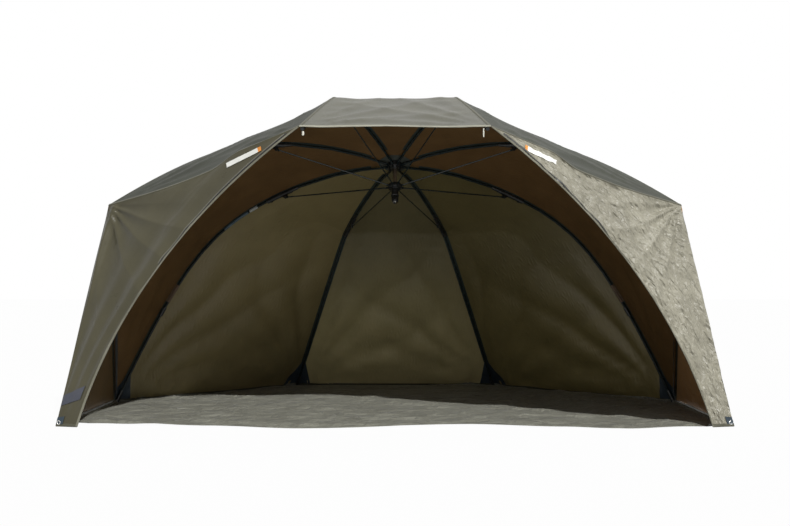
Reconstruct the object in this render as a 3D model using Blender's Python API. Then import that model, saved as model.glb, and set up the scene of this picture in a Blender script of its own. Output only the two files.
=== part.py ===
# Oval shelter umbrella for bank fishing: eight rod ribs on a slotted crown, a push-up
# runner with eight stretchers, a tensioned canopy, two storm sides and a groundsheet.
# Metres, +Z up, front towards -Y, origin on the ground under the middle of the outline.
import bpy
import bmesh
from math import atan2, cos, pi, radians, sin, tan
from mathutils import Matrix, Vector

for old in list(bpy.data.objects):
    bpy.data.objects.remove(old)

# Stance of the opened umbrella
crown_height = 1.116       # crown centre above the ground
tilt = radians(24.6)       # the whole umbrella leans back by this
rib_azimuth_step = radians(45.0)

# Rib rods: a bowed run that rises from the crown, straight through its bracket, then one
# bend to the tip
rod_radius = 0.0055
inner_length = 0.635       # from the hinge pin to the start of the bend, along the rod
bow_radius = 1.333
crown_rise = radians(10.0) # the rods leave the crown this much above square
bow_shares = (0.22, 0.45)  # corners of the bowed run before the bracket
bracket_clearance = 0.005  # from the bracket's sleeve to the ends of its straight
peak_reach, peak_drop = 0.9315, 0.3665
shoulder_reach, shoulder_drop = 1.2435, 0.492
side_reach = 1.4215
rear_reach = 1.404
# Each bend: where its two tangents meet, of its reach past the inner run, and how far the
# curve follows the one that it leaves by and the one that it arrives by
peak_bend_shares = (0.058, 0.725, 0.670)
shoulder_bend_shares = (0.392, 0.642, 0.692)
side_bend_shares = (0.539, 0.788, 0.821)
rear_bend_shares = (0.060, 0.742, 0.741)
rod_setback = 0.022        # the rod stops this short of the cloth's hem

# Crown, seen from below: slotted hub, ring wire, disc, and the cap above the cloth
pin_radius = 0.026
pin_drop = 0.012
hub_radius = 0.031
hub_above_pin = 0.0155
hub_below_pin = 0.0103
hub_edge = 0.002
disc_radius = 0.078
disc_thickness = 0.0025
cap_radius = 0.034
cap_height = 0.011
stud_radius = 0.003
ring_wire_radius = 0.00125

# Eyes at the ends of ribs and stretchers
rib_eye_radius = 0.0055
rib_blade_width = 0.006
rib_blade_length = 0.022
rod_start = 0.018
stretcher_radius = 0.003
stretcher_eye_radius = 0.0045
stretcher_blade_width = 0.0044
stretcher_blade_length = 0.016
stretcher_rod_start = 0.012
pivot_pin_radius = 0.0015

# Rib bracket: a long sleeve with a clevis below it and a hook at its tail
bracket_length = 0.150
bracket_radius = 0.0085
pivot_drop = 0.022         # rod's centre line down to the stretcher's pivot
cheek_thickness = 0.003
cheek_half_length = 0.021
hook_depth = 0.011
hook_length = 0.017

# Stub, runner, catch button, boss and pole socket
stub_radius = 0.0095
runner_pin_drop = 0.120    # stretchers' inner eyes below the crown centre
runner_radius = 0.031
runner_flange = 0.020
neck_radius = 0.016
neck_length = 0.034
collar_radius = 0.019
collar_length = 0.008
button_radius = 0.0042
button_proud = 0.0025
button_length = 0.0063
button_below_flange = 0.018
boss_radius = 0.016
boss_length = 0.030
insert_radius = 0.0101
insert_bore_radius = 0.0060
insert_depth = 0.020
insert_proud = 0.003

# Cloth
cloth_thickness = 0.0015
canopy_lift = 0.0095       # cloth above the rods' centre lines
tip_lift = 0.0170          # and above their tip cups and feet
seam_gap = 0.0008
hem_gap = 0.0022
hem_height = 0.004
canopy_sag = 0.010
front_corner_half = 1.330  # storm side's outer ground corner, from the middle
front_corner_reach = 0.761 # that corner, forward of the crown
entrance_foot_half = 1.240
entrance_foot_reach = 0.785
entrance_pull_half = 1.020 # the curved entrance edge is drawn towards this point
entrance_pull_height = 0.680
entrance_pull_reach = 0.822
fold_depth = 0.007
fold_count = 3
strap_width = 0.025
strap_thickness = 0.0015
strap_inset = 0.012
strap_end_gap = 0.050

# Groundsheet, inside the walls
sheet_thickness = 0.002
sheet_height = 0.001
sheet_margin = 0.030
sheet_front_reach = 0.770

# Ends of the ribs
tip_radius = 0.0083
tip_depth = 0.030          # how much of the rod a tip cup or foot takes in
tip_wall = 0.004
foot_radius = 0.0088
foot_depth = 0.050

# Side ribs: ferrule where the rod is joined, and the tab that ties the wall to it
ferrule_radius = 0.0088
ferrule_length = 0.045
tab_radius = 0.0089
tab_length = 0.095
ferrule_station_share = 0.615
tab_station_share = 0.535

# Fits
gap = 0.0004               # between pieces that stay together
running = 0.0003           # round a pin, inside a slot

ROUND = 24
SMALL_ROUND = 12
ROD_SIDES = 8
BEND_POINTS = 9

KINDS = ("peak", "shoulder", "side", "rear")
SIDES = (("left", -1), ("right", 1))


def material(name, colour, roughness, metallic=0.0):
    made = bpy.data.materials.new(name)
    made.use_nodes = True
    shader = made.node_tree.nodes["Principled BSDF"]
    shader.inputs["Base Color"].default_value = (*colour, 1.0)
    shader.inputs["Roughness"].default_value = roughness
    shader.inputs["Metallic"].default_value = metallic
    return made


moulding = material("black moulding", (0.020, 0.024, 0.024), 0.45)
rod_finish = material("green black rod", (0.018, 0.030, 0.030), 0.30)
disc_finish = material("grey green disc", (0.060, 0.070, 0.062), 0.55)
aluminium = material("brushed aluminium", (0.55, 0.56, 0.56), 0.35, 1.0)
steel = material("bright steel", (0.62, 0.62, 0.60), 0.25, 1.0)
cloth = material("olive coated nylon", (0.115, 0.112, 0.082), 0.60)
sheet_cloth = material("grey groundsheet", (0.190, 0.185, 0.150), 0.65)
webbing = material("black webbing", (0.020, 0.022, 0.026), 0.80)
tab_cloth = material("brown tab cloth", (0.090, 0.058, 0.040), 0.80)


def add_object(name, mesh, finish, parent=None, place=None):
    made = bpy.data.objects.new(name, mesh)
    bpy.context.scene.collection.objects.link(made)
    if not mesh.materials:
        mesh.materials.append(finish)
    made.parent = parent
    if place is not None:
        made.matrix_local = place
    return made


def finish_mesh(name, shape, smooth_angle=radians(35)):
    bmesh.ops.remove_doubles(shape, verts=shape.verts, dist=1e-7)
    bmesh.ops.recalc_face_normals(shape, faces=shape.faces)
    mesh = bpy.data.meshes.new(name)
    shape.to_mesh(mesh)
    shape.free()
    mesh.shade_smooth()
    mesh.set_sharp_from_angle(angle=smooth_angle)
    return mesh


def combine(mesh, tools, operation):
    """One mesh joined with, or cut by, each of the others."""
    target = bpy.data.objects.new("target", mesh)
    bpy.context.scene.collection.objects.link(target)
    helpers = []
    for tool in tools:
        helper = bpy.data.objects.new("tool", tool)
        bpy.context.scene.collection.objects.link(helper)
        cut = target.modifiers.new("cut", 'BOOLEAN')
        cut.operation = operation
        cut.object = helper
        helpers.append(helper)
    graph = bpy.context.evaluated_depsgraph_get()
    result = bpy.data.meshes.new_from_object(target.evaluated_get(graph))
    result.name = mesh.name
    for spent in helpers + [target]:
        bpy.data.objects.remove(spent)
    return result


def turned(name, profile, closed=False, steps=ROUND, place=None):
    """A profile of (radius, height) points spun round Z; a closed one doesn't reach the axis."""
    shape = bmesh.new()
    corners = [shape.verts.new((radius, 0, height)) for radius, height in profile]
    edges = [shape.edges.new(pair) for pair in zip(corners, corners[1:])]
    if closed:
        edges.append(shape.edges.new((corners[-1], corners[0])))
    bmesh.ops.spin(shape, geom=corners + edges, cent=(0, 0, 0), axis=(0, 0, 1),
                   angle=2 * pi, steps=steps, use_merge=True)
    if place is not None:
        bmesh.ops.transform(shape, matrix=place, verts=shape.verts)
    return finish_mesh(name, shape)


def extruded(name, outline, near, far):
    """An outline of (x, z) points carried from y=near to y=far."""
    shape = bmesh.new()
    face = shape.faces.new([shape.verts.new((x, near, z)) for x, z in outline])
    carried = bmesh.ops.extrude_face_region(shape, geom=[face])["geom"]
    moved = [item for item in carried if isinstance(item, bmesh.types.BMVert)]
    bmesh.ops.translate(shape, verts=moved, vec=(0, far - near, 0))
    return finish_mesh(name, shape)


def arc(centre_x, centre_z, radius, start, end, steps):
    turn = (end - start) / steps
    return [(centre_x + radius * cos(start + turn * i), centre_z + radius * sin(start + turn * i))
            for i in range(steps + 1)]


def ring_place(points, index):
    """A ring across a line in the XZ plane, at one of its points, halving the corner there."""
    before = points[max(index - 1, 0)]
    after = points[min(index + 1, len(points) - 1)]
    here = points[index]
    heading = Vector((0, 0, 0))
    if index > 0:
        heading += (here - before).normalized()
    if index < len(points) - 1:
        heading += (after - here).normalized()
    heading.normalize()
    across = Vector((0, 1, 0))
    upward = heading.cross(across)
    turn = Matrix((upward, across, heading)).transposed().to_4x4()
    return Matrix.Translation(here) @ turn


def loft_rings(shape, points, radius, sides):
    rings = []
    for index in range(len(points)):
        made = bmesh.ops.create_circle(shape, segments=sides, radius=radius, cap_ends=False,
                                       matrix=ring_place(points, index))
        rings.append(made["verts"])
    for ring, following in zip(rings, rings[1:]):
        for k in range(sides):
            shape.faces.new((ring[k], ring[(k + 1) % sides],
                             following[(k + 1) % sides], following[k]))
    return rings


def rod_mesh(name, points, radius, sides=ROD_SIDES):
    shape = bmesh.new()
    rings = loft_rings(shape, points, radius, sides)
    shape.faces.new(rings[0])
    shape.faces.new(rings[-1])
    return finish_mesh(name, shape)


def sleeve_mesh(name, points, inner, outer, sides=SMALL_ROUND):
    shape = bmesh.new()
    wall = loft_rings(shape, points, outer, sides)
    bore = loft_rings(shape, points, inner, sides)
    for end in (0, -1):
        for k in range(sides):
            shape.faces.new((wall[end][k], wall[end][(k + 1) % sides],
                             bore[end][(k + 1) % sides], bore[end][k]))
    return finish_mesh(name, shape)


def eye_blade(name, eye_radius, length, width, direction):
    """A flat eye round the origin with its blade along +X or -X."""
    outline = [(direction * x, z) for x, z in arc(0, 0, eye_radius, pi / 2, 3 * pi / 2, 6)]
    outline += [(direction * length, -eye_radius), (direction * length, eye_radius)]
    return extruded(name, outline, -width / 2, width / 2)


def cross_pin(name, radius, half_length, x=0, z=0, sides=8):
    """A round bar along Y."""
    turn = Matrix.Translation((x, 0, z)) @ Matrix.Rotation(pi / 2, 4, 'X')
    return turned(name, [(0, -half_length), (radius, -half_length), (radius, half_length),
                         (0, half_length)], steps=sides, place=turn)


# The umbrella's own axis frame: origin at the crown, Z up the axis, -Y towards the front.
# A rib's half-plane is written as (reach from the axis, height along the axis).
def axis_height(reach, height, azimuth):
    """Height above the ground of a point in a rib's half-plane."""
    return crown_height + reach * cos(azimuth) * sin(tilt) + height * cos(tilt)


def grounded_drop(reach, azimuth):
    return (crown_height + reach * cos(azimuth) * sin(tilt)) / cos(tilt)


azimuths = {kind: rib_azimuth_step * (i + 0.5) for i, kind in enumerate(KINDS)}
tips = {
    "peak": (peak_reach, peak_drop, peak_bend_shares),
    "shoulder": (shoulder_reach, shoulder_drop, shoulder_bend_shares),
    "side": (side_reach, grounded_drop(side_reach, azimuths["side"]), side_bend_shares),
    "rear": (rear_reach, grounded_drop(rear_reach, azimuths["rear"]), rear_bend_shares),
}
STANDING = ("side", "rear")

pin = Vector((pin_radius, 0, -pin_drop))


def bowed(distance):
    """A point of the inner run, a distance along it from the hinge pin."""
    slope = distance / bow_radius - crown_rise
    return pin + Vector((sin(slope) + sin(crown_rise), 0, cos(slope) - cos(crown_rise))) * bow_radius


def bowed_up(distance):
    slope = distance / bow_radius - crown_rise
    return Vector((sin(slope), 0, cos(slope)))


bracket_start = inner_length - bracket_length - 2 * bracket_clearance
inner_stations = [inner_length * share for share in bow_shares] + [bracket_start, inner_length]
inner_end = bowed(inner_length)
bracket_heading = (inner_end - bowed(bracket_start)).normalized()
bracket_slope = atan2(-bracket_heading.z, bracket_heading.x)
bracket_up = Vector((-bracket_heading.z, 0, bracket_heading.x))
pivot = bowed(bracket_start).lerp(inner_end, 0.5) - bracket_up * pivot_drop
runner_pin = Vector((pin_radius, 0, -runner_pin_drop))
stretcher_length = (pivot - runner_pin).length


def bend(kind):
    """The rod from the end of its inner run to the tip, as a curve that leaves one tangent
    and arrives on the other."""
    reach, drop, (corner_share, leave_share, arrive_share) = tips[kind]
    tip = Vector((reach, 0, -drop))
    up = bowed_up(inner_length)
    corner = inner_end + Vector((up.z, 0, -up.x)) * ((reach - inner_end.x) * corner_share / up.z)
    first = inner_end.lerp(corner, leave_share)
    second = tip.lerp(corner, arrive_share)
    curve = []
    for i in range(1, BEND_POINTS + 1):
        t = i / BEND_POINTS
        s = 1 - t
        curve.append(s ** 3 * inner_end + 3 * s * s * t * first
                     + 3 * s * t * t * second + t ** 3 * tip)
    return curve


bends = {kind: bend(kind) for kind in KINDS}


def end_heading(kind):
    """The way that the last length of rod points."""
    return (bends[kind][-1] - bends[kind][-2]).normalized()


# Cloth lines over the ribs, lifted off the rods, from the crown to the hem
hub_top = hub_above_pin - pin_drop
crown_cloth_height = hub_top + gap + disc_thickness
inner_cloth_radius = stud_radius + 0.5 * stud_radius


def cloth_line(kind):
    top = crown_cloth_height + gap
    line = [Vector((inner_cloth_radius, 0, top)), Vector((disc_radius + 4 * gap, 0, top))]
    for distance in inner_stations:
        line.append(bowed(distance) + bowed_up(distance) * canopy_lift)
    curve = [inner_end] + bends[kind]
    for i in range(1, len(curve)):
        heading = (curve[i] - curve[i - 1]).normalized()
        if i < len(curve) - 1:
            heading = (heading + (curve[i + 1] - curve[i]).normalized()).normalized()
        outward = Vector((-heading.z, 0, heading.x))
        lift = canopy_lift + (tip_lift - canopy_lift) * (i / (len(curve) - 1)) ** 2
        line.append(curve[i] + outward * lift)
    if kind in STANDING:
        last, before = line[-1], line[-2]
        run = (last - before).normalized()
        high = axis_height(last.x, last.z, azimuths[kind])
        low = axis_height(last.x + run.x, last.z + run.z, azimuths[kind])
        line[-1] = last + run * ((high - hem_height) / (high - low))
    return line


def turn_to_rib(azimuth, side):
    return Matrix.Rotation(atan2(-cos(azimuth), side * sin(azimuth)), 4, 'Z')


cloth_lines = {}
for kind in KINDS:
    for side_name, side in SIDES:
        spin = turn_to_rib(azimuths[kind], side)
        cloth_lines[kind, side_name] = [spin @ point for point in cloth_line(kind)]

lean = Matrix.Rotation(-tilt, 4, 'X')
front_edge = (lean @ cloth_lines["peak", "left"][-1]).y
back_edge = (lean @ cloth_lines["rear", "left"][-1]).y
crown_y = -(front_edge + back_edge) / 2
stand = Matrix.Translation((0, crown_y, crown_height)) @ lean

umbrella = bpy.data.objects.new("umbrella_axis", None)
bpy.context.scene.collection.objects.link(umbrella)
umbrella.matrix_world = stand


# Crown
hub_bottom = -pin_drop - hub_below_pin
slot_top = (-pin_drop + rib_eye_radius / cos(crown_rise)
            + (hub_radius - pin_radius) * tan(crown_rise) + 2 * running)
groove_half = ring_wire_radius + running
stub_bore = stub_radius + gap
bore_top = slot_top - running


def crown_hub():
    profile = [(0, hub_top), (hub_radius - hub_edge, hub_top), (hub_radius, hub_top - hub_edge),
               (hub_radius, hub_bottom + hub_edge), (hub_radius - hub_edge, hub_bottom),
               (pin_radius + groove_half, hub_bottom),
               (pin_radius + groove_half, -pin_drop + groove_half),
               (pin_radius - groove_half, -pin_drop + groove_half),
               (pin_radius - groove_half, hub_bottom),
               (stub_bore, hub_bottom), (stub_bore, bore_top), (0, bore_top)]
    body = turned("crown_hub", profile)
    slots = slot_cutters(pin_radius - rib_eye_radius - 2 * running, hub_radius + hub_edge,
                         rib_blade_width + 2 * running, hub_bottom - hub_edge, slot_top)
    add_object("crown_hub", combine(body, [slots], 'DIFFERENCE'), moulding, umbrella)


def slot_cutters(inner, outer, width, low, high):
    """Eight radial boxes in one mesh, one to a rib."""
    shape = bmesh.new()
    for kind in KINDS:
        for _, side in SIDES:
            size = Matrix.Diagonal((outer - inner, width, high - low, 1))
            middle = Matrix.Translation(((inner + outer) / 2, 0, (low + high) / 2))
            bmesh.ops.create_cube(shape, size=1, matrix=turn_to_rib(azimuths[kind], side)
                                  @ middle @ size)
    return finish_mesh("slots", shape)


def hinge_ring():
    wire = [(pin_radius + x, -pin_drop + z)
            for x, z in arc(0, 0, ring_wire_radius, 0, 2 * pi, 6)[:-1]]
    add_object("hinge_ring", turned("hinge_ring", wire, closed=True), steel, umbrella)


def crown_disc():
    shape = bmesh.new()
    low, high = hub_top + gap, hub_top + gap + disc_thickness
    made = bmesh.ops.create_circle(shape, segments=8, radius=disc_radius, cap_ends=True,
                                   matrix=Matrix.Translation((0, 0, low))
                                   @ Matrix.Rotation(rib_azimuth_step / 2, 4, 'Z'))
    bmesh.ops.bevel(shape, geom=made["verts"], offset=disc_radius / 5, affect='VERTICES',
                    segments=3, profile=0.5)
    carried = bmesh.ops.extrude_face_region(shape, geom=shape.faces[:])["geom"]
    moved = [item for item in carried if isinstance(item, bmesh.types.BMVert)]
    bmesh.ops.translate(shape, verts=moved, vec=(0, 0, high - low))
    body = finish_mesh("crown_disc", shape)
    hole = turned("hole", [(0, low - gap), (stud_radius + gap, low - gap),
                           (stud_radius + gap, high + gap), (0, high + gap)],
                  steps=SMALL_ROUND)
    add_object("crown_disc", combine(body, [hole], 'DIFFERENCE'), disc_finish, umbrella)


def top_cap():
    under = crown_cloth_height + gap + cloth_thickness + gap
    dome = [(cap_radius * cos(turn * pi / 12), under + cap_height * (1 + 2 * sin(turn * pi / 12)) / 3)
            for turn in range(6)]
    profile = [(0, hub_top + gap), (stud_radius, hub_top + gap), (stud_radius, under),
               (cap_radius, under)] + dome + [(0, under + cap_height)]
    add_object("top_cap", turned("top_cap", profile), moulding, umbrella)


crown_hub()
hinge_ring()
crown_disc()
top_cap()


# Stub, runner, boss and socket, which come down together. The slots are open at both
# ends, and the stretchers' inner eyes lie in them.
flange_top = -runner_pin_drop + runner_flange / 2
flange_bottom = flange_top - runner_flange
neck_bottom = flange_bottom - neck_length
collar_bottom = neck_bottom - collar_length
boss_top = collar_bottom - gap
boss_bottom = boss_top - boss_length
stub_bottom = boss_top - boss_length / 5


def runner():
    edge = hub_edge
    profile = [(stub_bore, flange_top), (runner_radius - edge, flange_top),
               (runner_radius, flange_top - edge), (runner_radius, flange_bottom + edge),
               (runner_radius - edge, flange_bottom), (neck_radius + edge, flange_bottom),
               (neck_radius, flange_bottom - edge), (neck_radius, neck_bottom),
               (collar_radius, neck_bottom - edge), (collar_radius, collar_bottom + edge),
               (collar_radius - edge, collar_bottom), (stub_bore, collar_bottom)]
    body = turned("runner", profile, closed=True)
    slots = slot_cutters(pin_radius - stretcher_eye_radius - 2 * running, runner_radius + edge,
                         stretcher_blade_width + 2 * running, flange_bottom - edge,
                         flange_top + edge)
    hole_place = Matrix.Translation((0, 0, button_height)) @ Matrix.Rotation(pi / 2, 4, 'X')
    hole_start, hole_end = stub_radius / 2, neck_radius + edge
    hole = turned("hole", [(0, hole_start), (button_radius + running, hole_start),
                           (button_radius + running, hole_end), (0, hole_end)],
                  steps=SMALL_ROUND, place=hole_place)
    add_object("runner", combine(body, [slots, hole], 'DIFFERENCE'), moulding, umbrella)


button_height = flange_bottom - button_below_flange


def catch_button():
    outer = button_length
    edge = button_radius / 4
    profile = [(0, 0), (button_radius, 0), (button_radius, outer - edge),
               (button_radius - edge, outer), (0, outer)]
    place = (Matrix.Translation((0, -(neck_radius + button_proud - button_length), button_height))
             @ Matrix.Rotation(pi / 2, 4, 'X'))
    add_object("catch_button", turned("catch_button", profile, steps=SMALL_ROUND),
               moulding, umbrella, place)


def stub_shaft():
    top = bore_top - gap
    profile = [(0, top), (stub_radius - running, top), (stub_radius, top - running * 2),
               (stub_radius, stub_bottom), (0, stub_bottom)]
    add_object("stub_shaft", turned("stub_shaft", profile), aluminium, umbrella)


def end_boss():
    neck = stub_bottom - gap
    socket_top = boss_bottom + insert_depth + gap
    middle = (boss_top + boss_bottom) / 2
    belly = [(boss_radius * x, middle + boss_length / 2 * z / sin(pi / 4))
             for x, z in arc(0, 0, 1, pi / 4, -pi / 4, 6)]
    profile = ([(0, neck), (stub_bore, neck), (stub_bore, boss_top)] + belly
               + [(insert_radius + gap, boss_bottom), (insert_radius + gap, socket_top),
                  (0, socket_top)])
    add_object("end_boss", turned("end_boss", profile), moulding, umbrella)


def pole_insert():
    low, high = boss_bottom - insert_proud, boss_bottom + insert_depth
    edge = insert_proud / 4
    blind = high - insert_depth / 5
    profile = [(0, high), (insert_radius, high), (insert_radius, low + edge),
               (insert_radius - edge, low), (insert_bore_radius, low),
               (insert_bore_radius, blind), (0, blind)]
    add_object("pole_insert", turned("pole_insert", profile), steel, umbrella)


runner()
catch_button()
stub_shaft()
end_boss()
pole_insert()


# Meshes that every rib shares, in the frame of a rib: origin on its hinge pin, +X outward
blade_turn = Matrix.Rotation(-crown_rise, 4, 'Y')
bracket_turn = Matrix.Rotation(bracket_slope, 4, 'Y')


def rib_mesh(name, kind):
    end = end_heading(kind)
    setback = rod_setback if kind not in STANDING else foot_radius + tip_wall
    curve = bends[kind][:-1] + [bends[kind][-1] - end * setback]
    line = [bowed(rod_start)] + [bowed(distance) for distance in inner_stations] + curve
    rod = rod_mesh(name, [point - pin for point in line], rod_radius)
    blade = eye_blade("blade", rib_eye_radius, rib_blade_length, rib_blade_width, 1)
    blade.transform(blade_turn)
    joined = combine(rod, [blade], 'UNION')
    hole = cross_pin("hole", ring_wire_radius + running, rib_blade_width)
    return combine(joined, [hole], 'DIFFERENCE')


def bracket_mesh():
    """Sleeve, two cheeks, pivot pin and tail hook; origin on the pivot, +X along the rod."""
    half = bracket_length / 2
    taper = bracket_length / 12
    bore = rod_radius + running
    profile = [(bore, -half), (bracket_radius - gap * 3, -half), (bracket_radius, -half + taper),
               (bracket_radius, half - taper), (bracket_radius - gap * 3, half), (bore, half)]
    along = Matrix.Translation((0, 0, pivot_drop)) @ Matrix.Rotation(pi / 2, 4, 'Y')
    body = turned("rib_bracket", profile, closed=True, steps=SMALL_ROUND,
                  place=along)
    cheek_top = pivot_drop - bore + running
    nose = stretcher_eye_radius + cheek_thickness / 2
    outline = arc(0, 0, nose, -pi, 0, 6)
    outline += [(cheek_half_length, cheek_top), (-cheek_half_length, cheek_top)]
    inside = stretcher_blade_width / 2 + running
    cheeks = [extruded("cheek", outline, side * inside, side * (inside + cheek_thickness))
              for _, side in SIDES]
    pivot_pin = cross_pin("pivot_pin", pivot_pin_radius, inside + cheek_thickness)
    hook_top = pivot_drop - bracket_radius + gap
    hook = [(half - hook_length, hook_top), (half - hook_length / 4, hook_top - hook_depth),
            (half + hook_length / 6, hook_top - hook_depth), (half - taper, hook_top)]
    hook_plate = extruded("hook", hook, -cheek_thickness / 2, cheek_thickness / 2)
    return combine(body, cheeks + [pivot_pin, hook_plate], 'UNION')


def stretcher_mesh():
    """From the rib's pivot at the origin to the runner's slot, along +X."""
    start, stop = stretcher_rod_start, stretcher_length - stretcher_rod_start
    rod = rod_mesh("stretcher", [Vector((start, 0, 0)), Vector((stop, 0, 0))],
                   stretcher_radius, 6)
    near = eye_blade("near", stretcher_eye_radius, stretcher_blade_length,
                     stretcher_blade_width, 1)
    far = eye_blade("far", stretcher_eye_radius, stretcher_blade_length,
                    stretcher_blade_width, -1)
    far.transform(Matrix.Translation((stretcher_length, 0, 0)))
    joined = combine(rod, [near, far], 'UNION')
    hole = cross_pin("hole", pivot_pin_radius + running, stretcher_blade_width)
    far_hole = cross_pin("hole", pivot_pin_radius + running, stretcher_blade_width,
                         x=stretcher_length)
    return combine(joined, [hole, far_hole], 'DIFFERENCE')


def cup_mesh(name, kind, side):
    """Tip cup, or a foot cut level where it stands on the ground, in the rib's frame."""
    standing = kind in STANDING
    heading = end_heading(kind)
    tip = Vector((tips[kind][0], 0, -tips[kind][1])) - pin
    radius = foot_radius if standing else tip_radius
    depth = foot_depth if standing else tip_depth
    rod_end = tip - heading * (foot_radius + tip_wall if standing else rod_setback)
    bore = rod_radius + running
    nose = tip_wall + (foot_radius * 3 if standing else 0)
    edge = tip_wall / 4
    profile = [(0, nose), (radius - edge, nose), (radius, nose - edge), (radius, -depth / 2),
               (radius - edge, -depth), (bore, -depth), (bore, -gap), (0, -gap)]
    up = Vector((0, 1, 0)).cross(heading)
    turn = Matrix((up, Vector((0, 1, 0)), heading)).transposed().to_4x4()
    cup = turned(name, profile, steps=SMALL_ROUND,
                 place=Matrix.Translation(rod_end + heading * gap) @ turn)
    if standing:
        shape = bmesh.new()
        shape.from_mesh(cup)
        frame = (Matrix.Translation((0, 0, crown_height)) @ lean
                 @ turn_to_rib(azimuths[kind], side) @ Matrix.Translation(pin))
        upright = frame.inverted().to_3x3() @ Vector((0, 0, 1))
        level = frame.inverted() @ Vector((0, 0, 0))
        cut = bmesh.ops.bisect_plane(shape, geom=shape.verts[:] + shape.edges[:] + shape.faces[:],
                                     plane_co=level, plane_no=upright, clear_inner=True)
        rim = [item for item in cut["geom_cut"] if isinstance(item, bmesh.types.BMEdge)]
        bmesh.ops.contextual_create(shape, geom=rim)
        cup = finish_mesh(name, shape)
    return cup


shared_bracket = bracket_mesh()
shared_stretcher = stretcher_mesh()
ribs = {}
for kind in KINDS:
    for side_name, side in SIDES:
        label = f"{kind}_{side_name}"
        rib_place = turn_to_rib(azimuths[kind], side) @ Matrix.Translation(pin)
        rib = add_object(f"{label}_rib", rib_mesh(f"{label}_rib", kind), rod_finish,
                         umbrella, rib_place)
        ribs[kind, side_name] = rib
        at_pivot = Matrix.Translation(pivot - pin)
        add_object(f"{label}_bracket", shared_bracket, moulding, rib, at_pivot @ bracket_turn)
        to_runner = runner_pin - pivot
        swing = Matrix.Rotation(atan2(-to_runner.z, to_runner.x), 4, 'Y')
        add_object(f"{label}_stretcher", shared_stretcher, rod_finish, rib, at_pivot @ swing)
        end_name = f"{label}_foot" if kind in STANDING else f"{label}_tip_cup"
        add_object(end_name, cup_mesh(end_name, kind, side), moulding, rib)

for side_name, side in SIDES:
    line = [point - pin for point in [inner_end] + bends["side"]]
    along = [0]
    for start, end in zip(line, line[1:]):
        along.append(along[-1] + (end - start).length)

    def station(share, length):
        """The rod's own points over a given length, a share of the way round the bend."""
        ends = (along[-1] * share - length / 2, along[-1] * share + length / 2)
        points = [point for point, place in zip(line, along) if ends[0] < place < ends[1]]
        for place in ends:
            index = max(i for i in range(len(line) - 1) if along[i] <= place)
            part_way = (place - along[index]) / (along[index + 1] - along[index])
            points.append(line[index].lerp(line[index + 1], part_way))
        return [points[-2]] + points[:-2] + [points[-1]]

    ferrule = sleeve_mesh("ferrule", station(ferrule_station_share, ferrule_length),
                          rod_radius + gap, ferrule_radius)
    add_object(f"side_{side_name}_ferrule", ferrule, moulding, ribs["side", side_name])
    tab = sleeve_mesh("wall_tab", station(tab_station_share, tab_length),
                      rod_radius + gap, tab_radius)
    add_object(f"wall_tab_{side_name}", tab, tab_cloth, ribs["side", side_name])


# Canopy: one panel between two seams, a little slack across its middle
def cloth_object(name, rows, finish, outward, parent=umbrella):
    """A sheet from rows of points, thickened on its outer side."""
    shape = bmesh.new()
    across, along = len(rows[0]), len(rows)
    made = bmesh.ops.create_grid(shape, x_segments=across - 1, y_segments=along - 1, size=1)
    for index, corner in enumerate(made["verts"]):
        corner.co = rows[index // across][index % across]
    shape.normal_update()
    facing = sum((face.normal * face.calc_area() for face in shape.faces), Vector())
    if facing.dot(outward) < 0:
        bmesh.ops.reverse_faces(shape, faces=shape.faces)
    mesh = bpy.data.meshes.new(name)
    shape.to_mesh(mesh)
    shape.free()
    mesh.shade_smooth()
    made_object = add_object(name, mesh, finish, parent)
    wall = made_object.modifiers.new("cloth wall", 'SOLIDIFY')
    wall.thickness = cloth_thickness
    wall.offset = 1
    wall.use_rim = True
    return made_object


PANEL_COLUMNS = 6


def panel_rows(first, second):
    rows = []
    for index, (start, end) in enumerate(zip(first, second)):
        inset = (end - start).normalized() * seam_gap / 2
        along = index / (len(first) - 1)
        row = []
        for column in range(PANEL_COLUMNS + 1):
            across = column / PANEL_COLUMNS
            point = (start + inset).lerp(end - inset, across)
            slack = canopy_sag * sin(pi * across) * sin(pi * along) ** 2
            row.append(point - point.normalized() * slack)
        rows.append(row)
    return rows


panels = [("peak_panel", ("peak", "left"), ("peak", "right")),
          ("rear_panel", ("rear", "right"), ("rear", "left"))]
for side_name, side in SIDES:
    for first, second in zip(KINDS, KINDS[1:]):
        panels.append((f"{first}_{second}_panel_{side_name}", (first, side_name),
                       (second, side_name)))
for name, first, second in panels:
    rows = panel_rows(cloth_lines[first], cloth_lines[second])
    middle = rows[len(rows) // 2][PANEL_COLUMNS // 2]
    cloth_object(name, rows, cloth, Vector((middle.x, middle.y, abs(middle.z) + disc_radius)))


# Storm sides: an entrance flap from the shoulder hem to the ground, creased back along
# the line from the shoulder corner to the front ground corner, then a wall to the side foot
FLAP_COLUMNS = 10
WALL_COLUMNS = 3
STORM_ROWS = 9


def to_ground(x, reach, height):
    return Vector((x, crown_y - reach, height))


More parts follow.
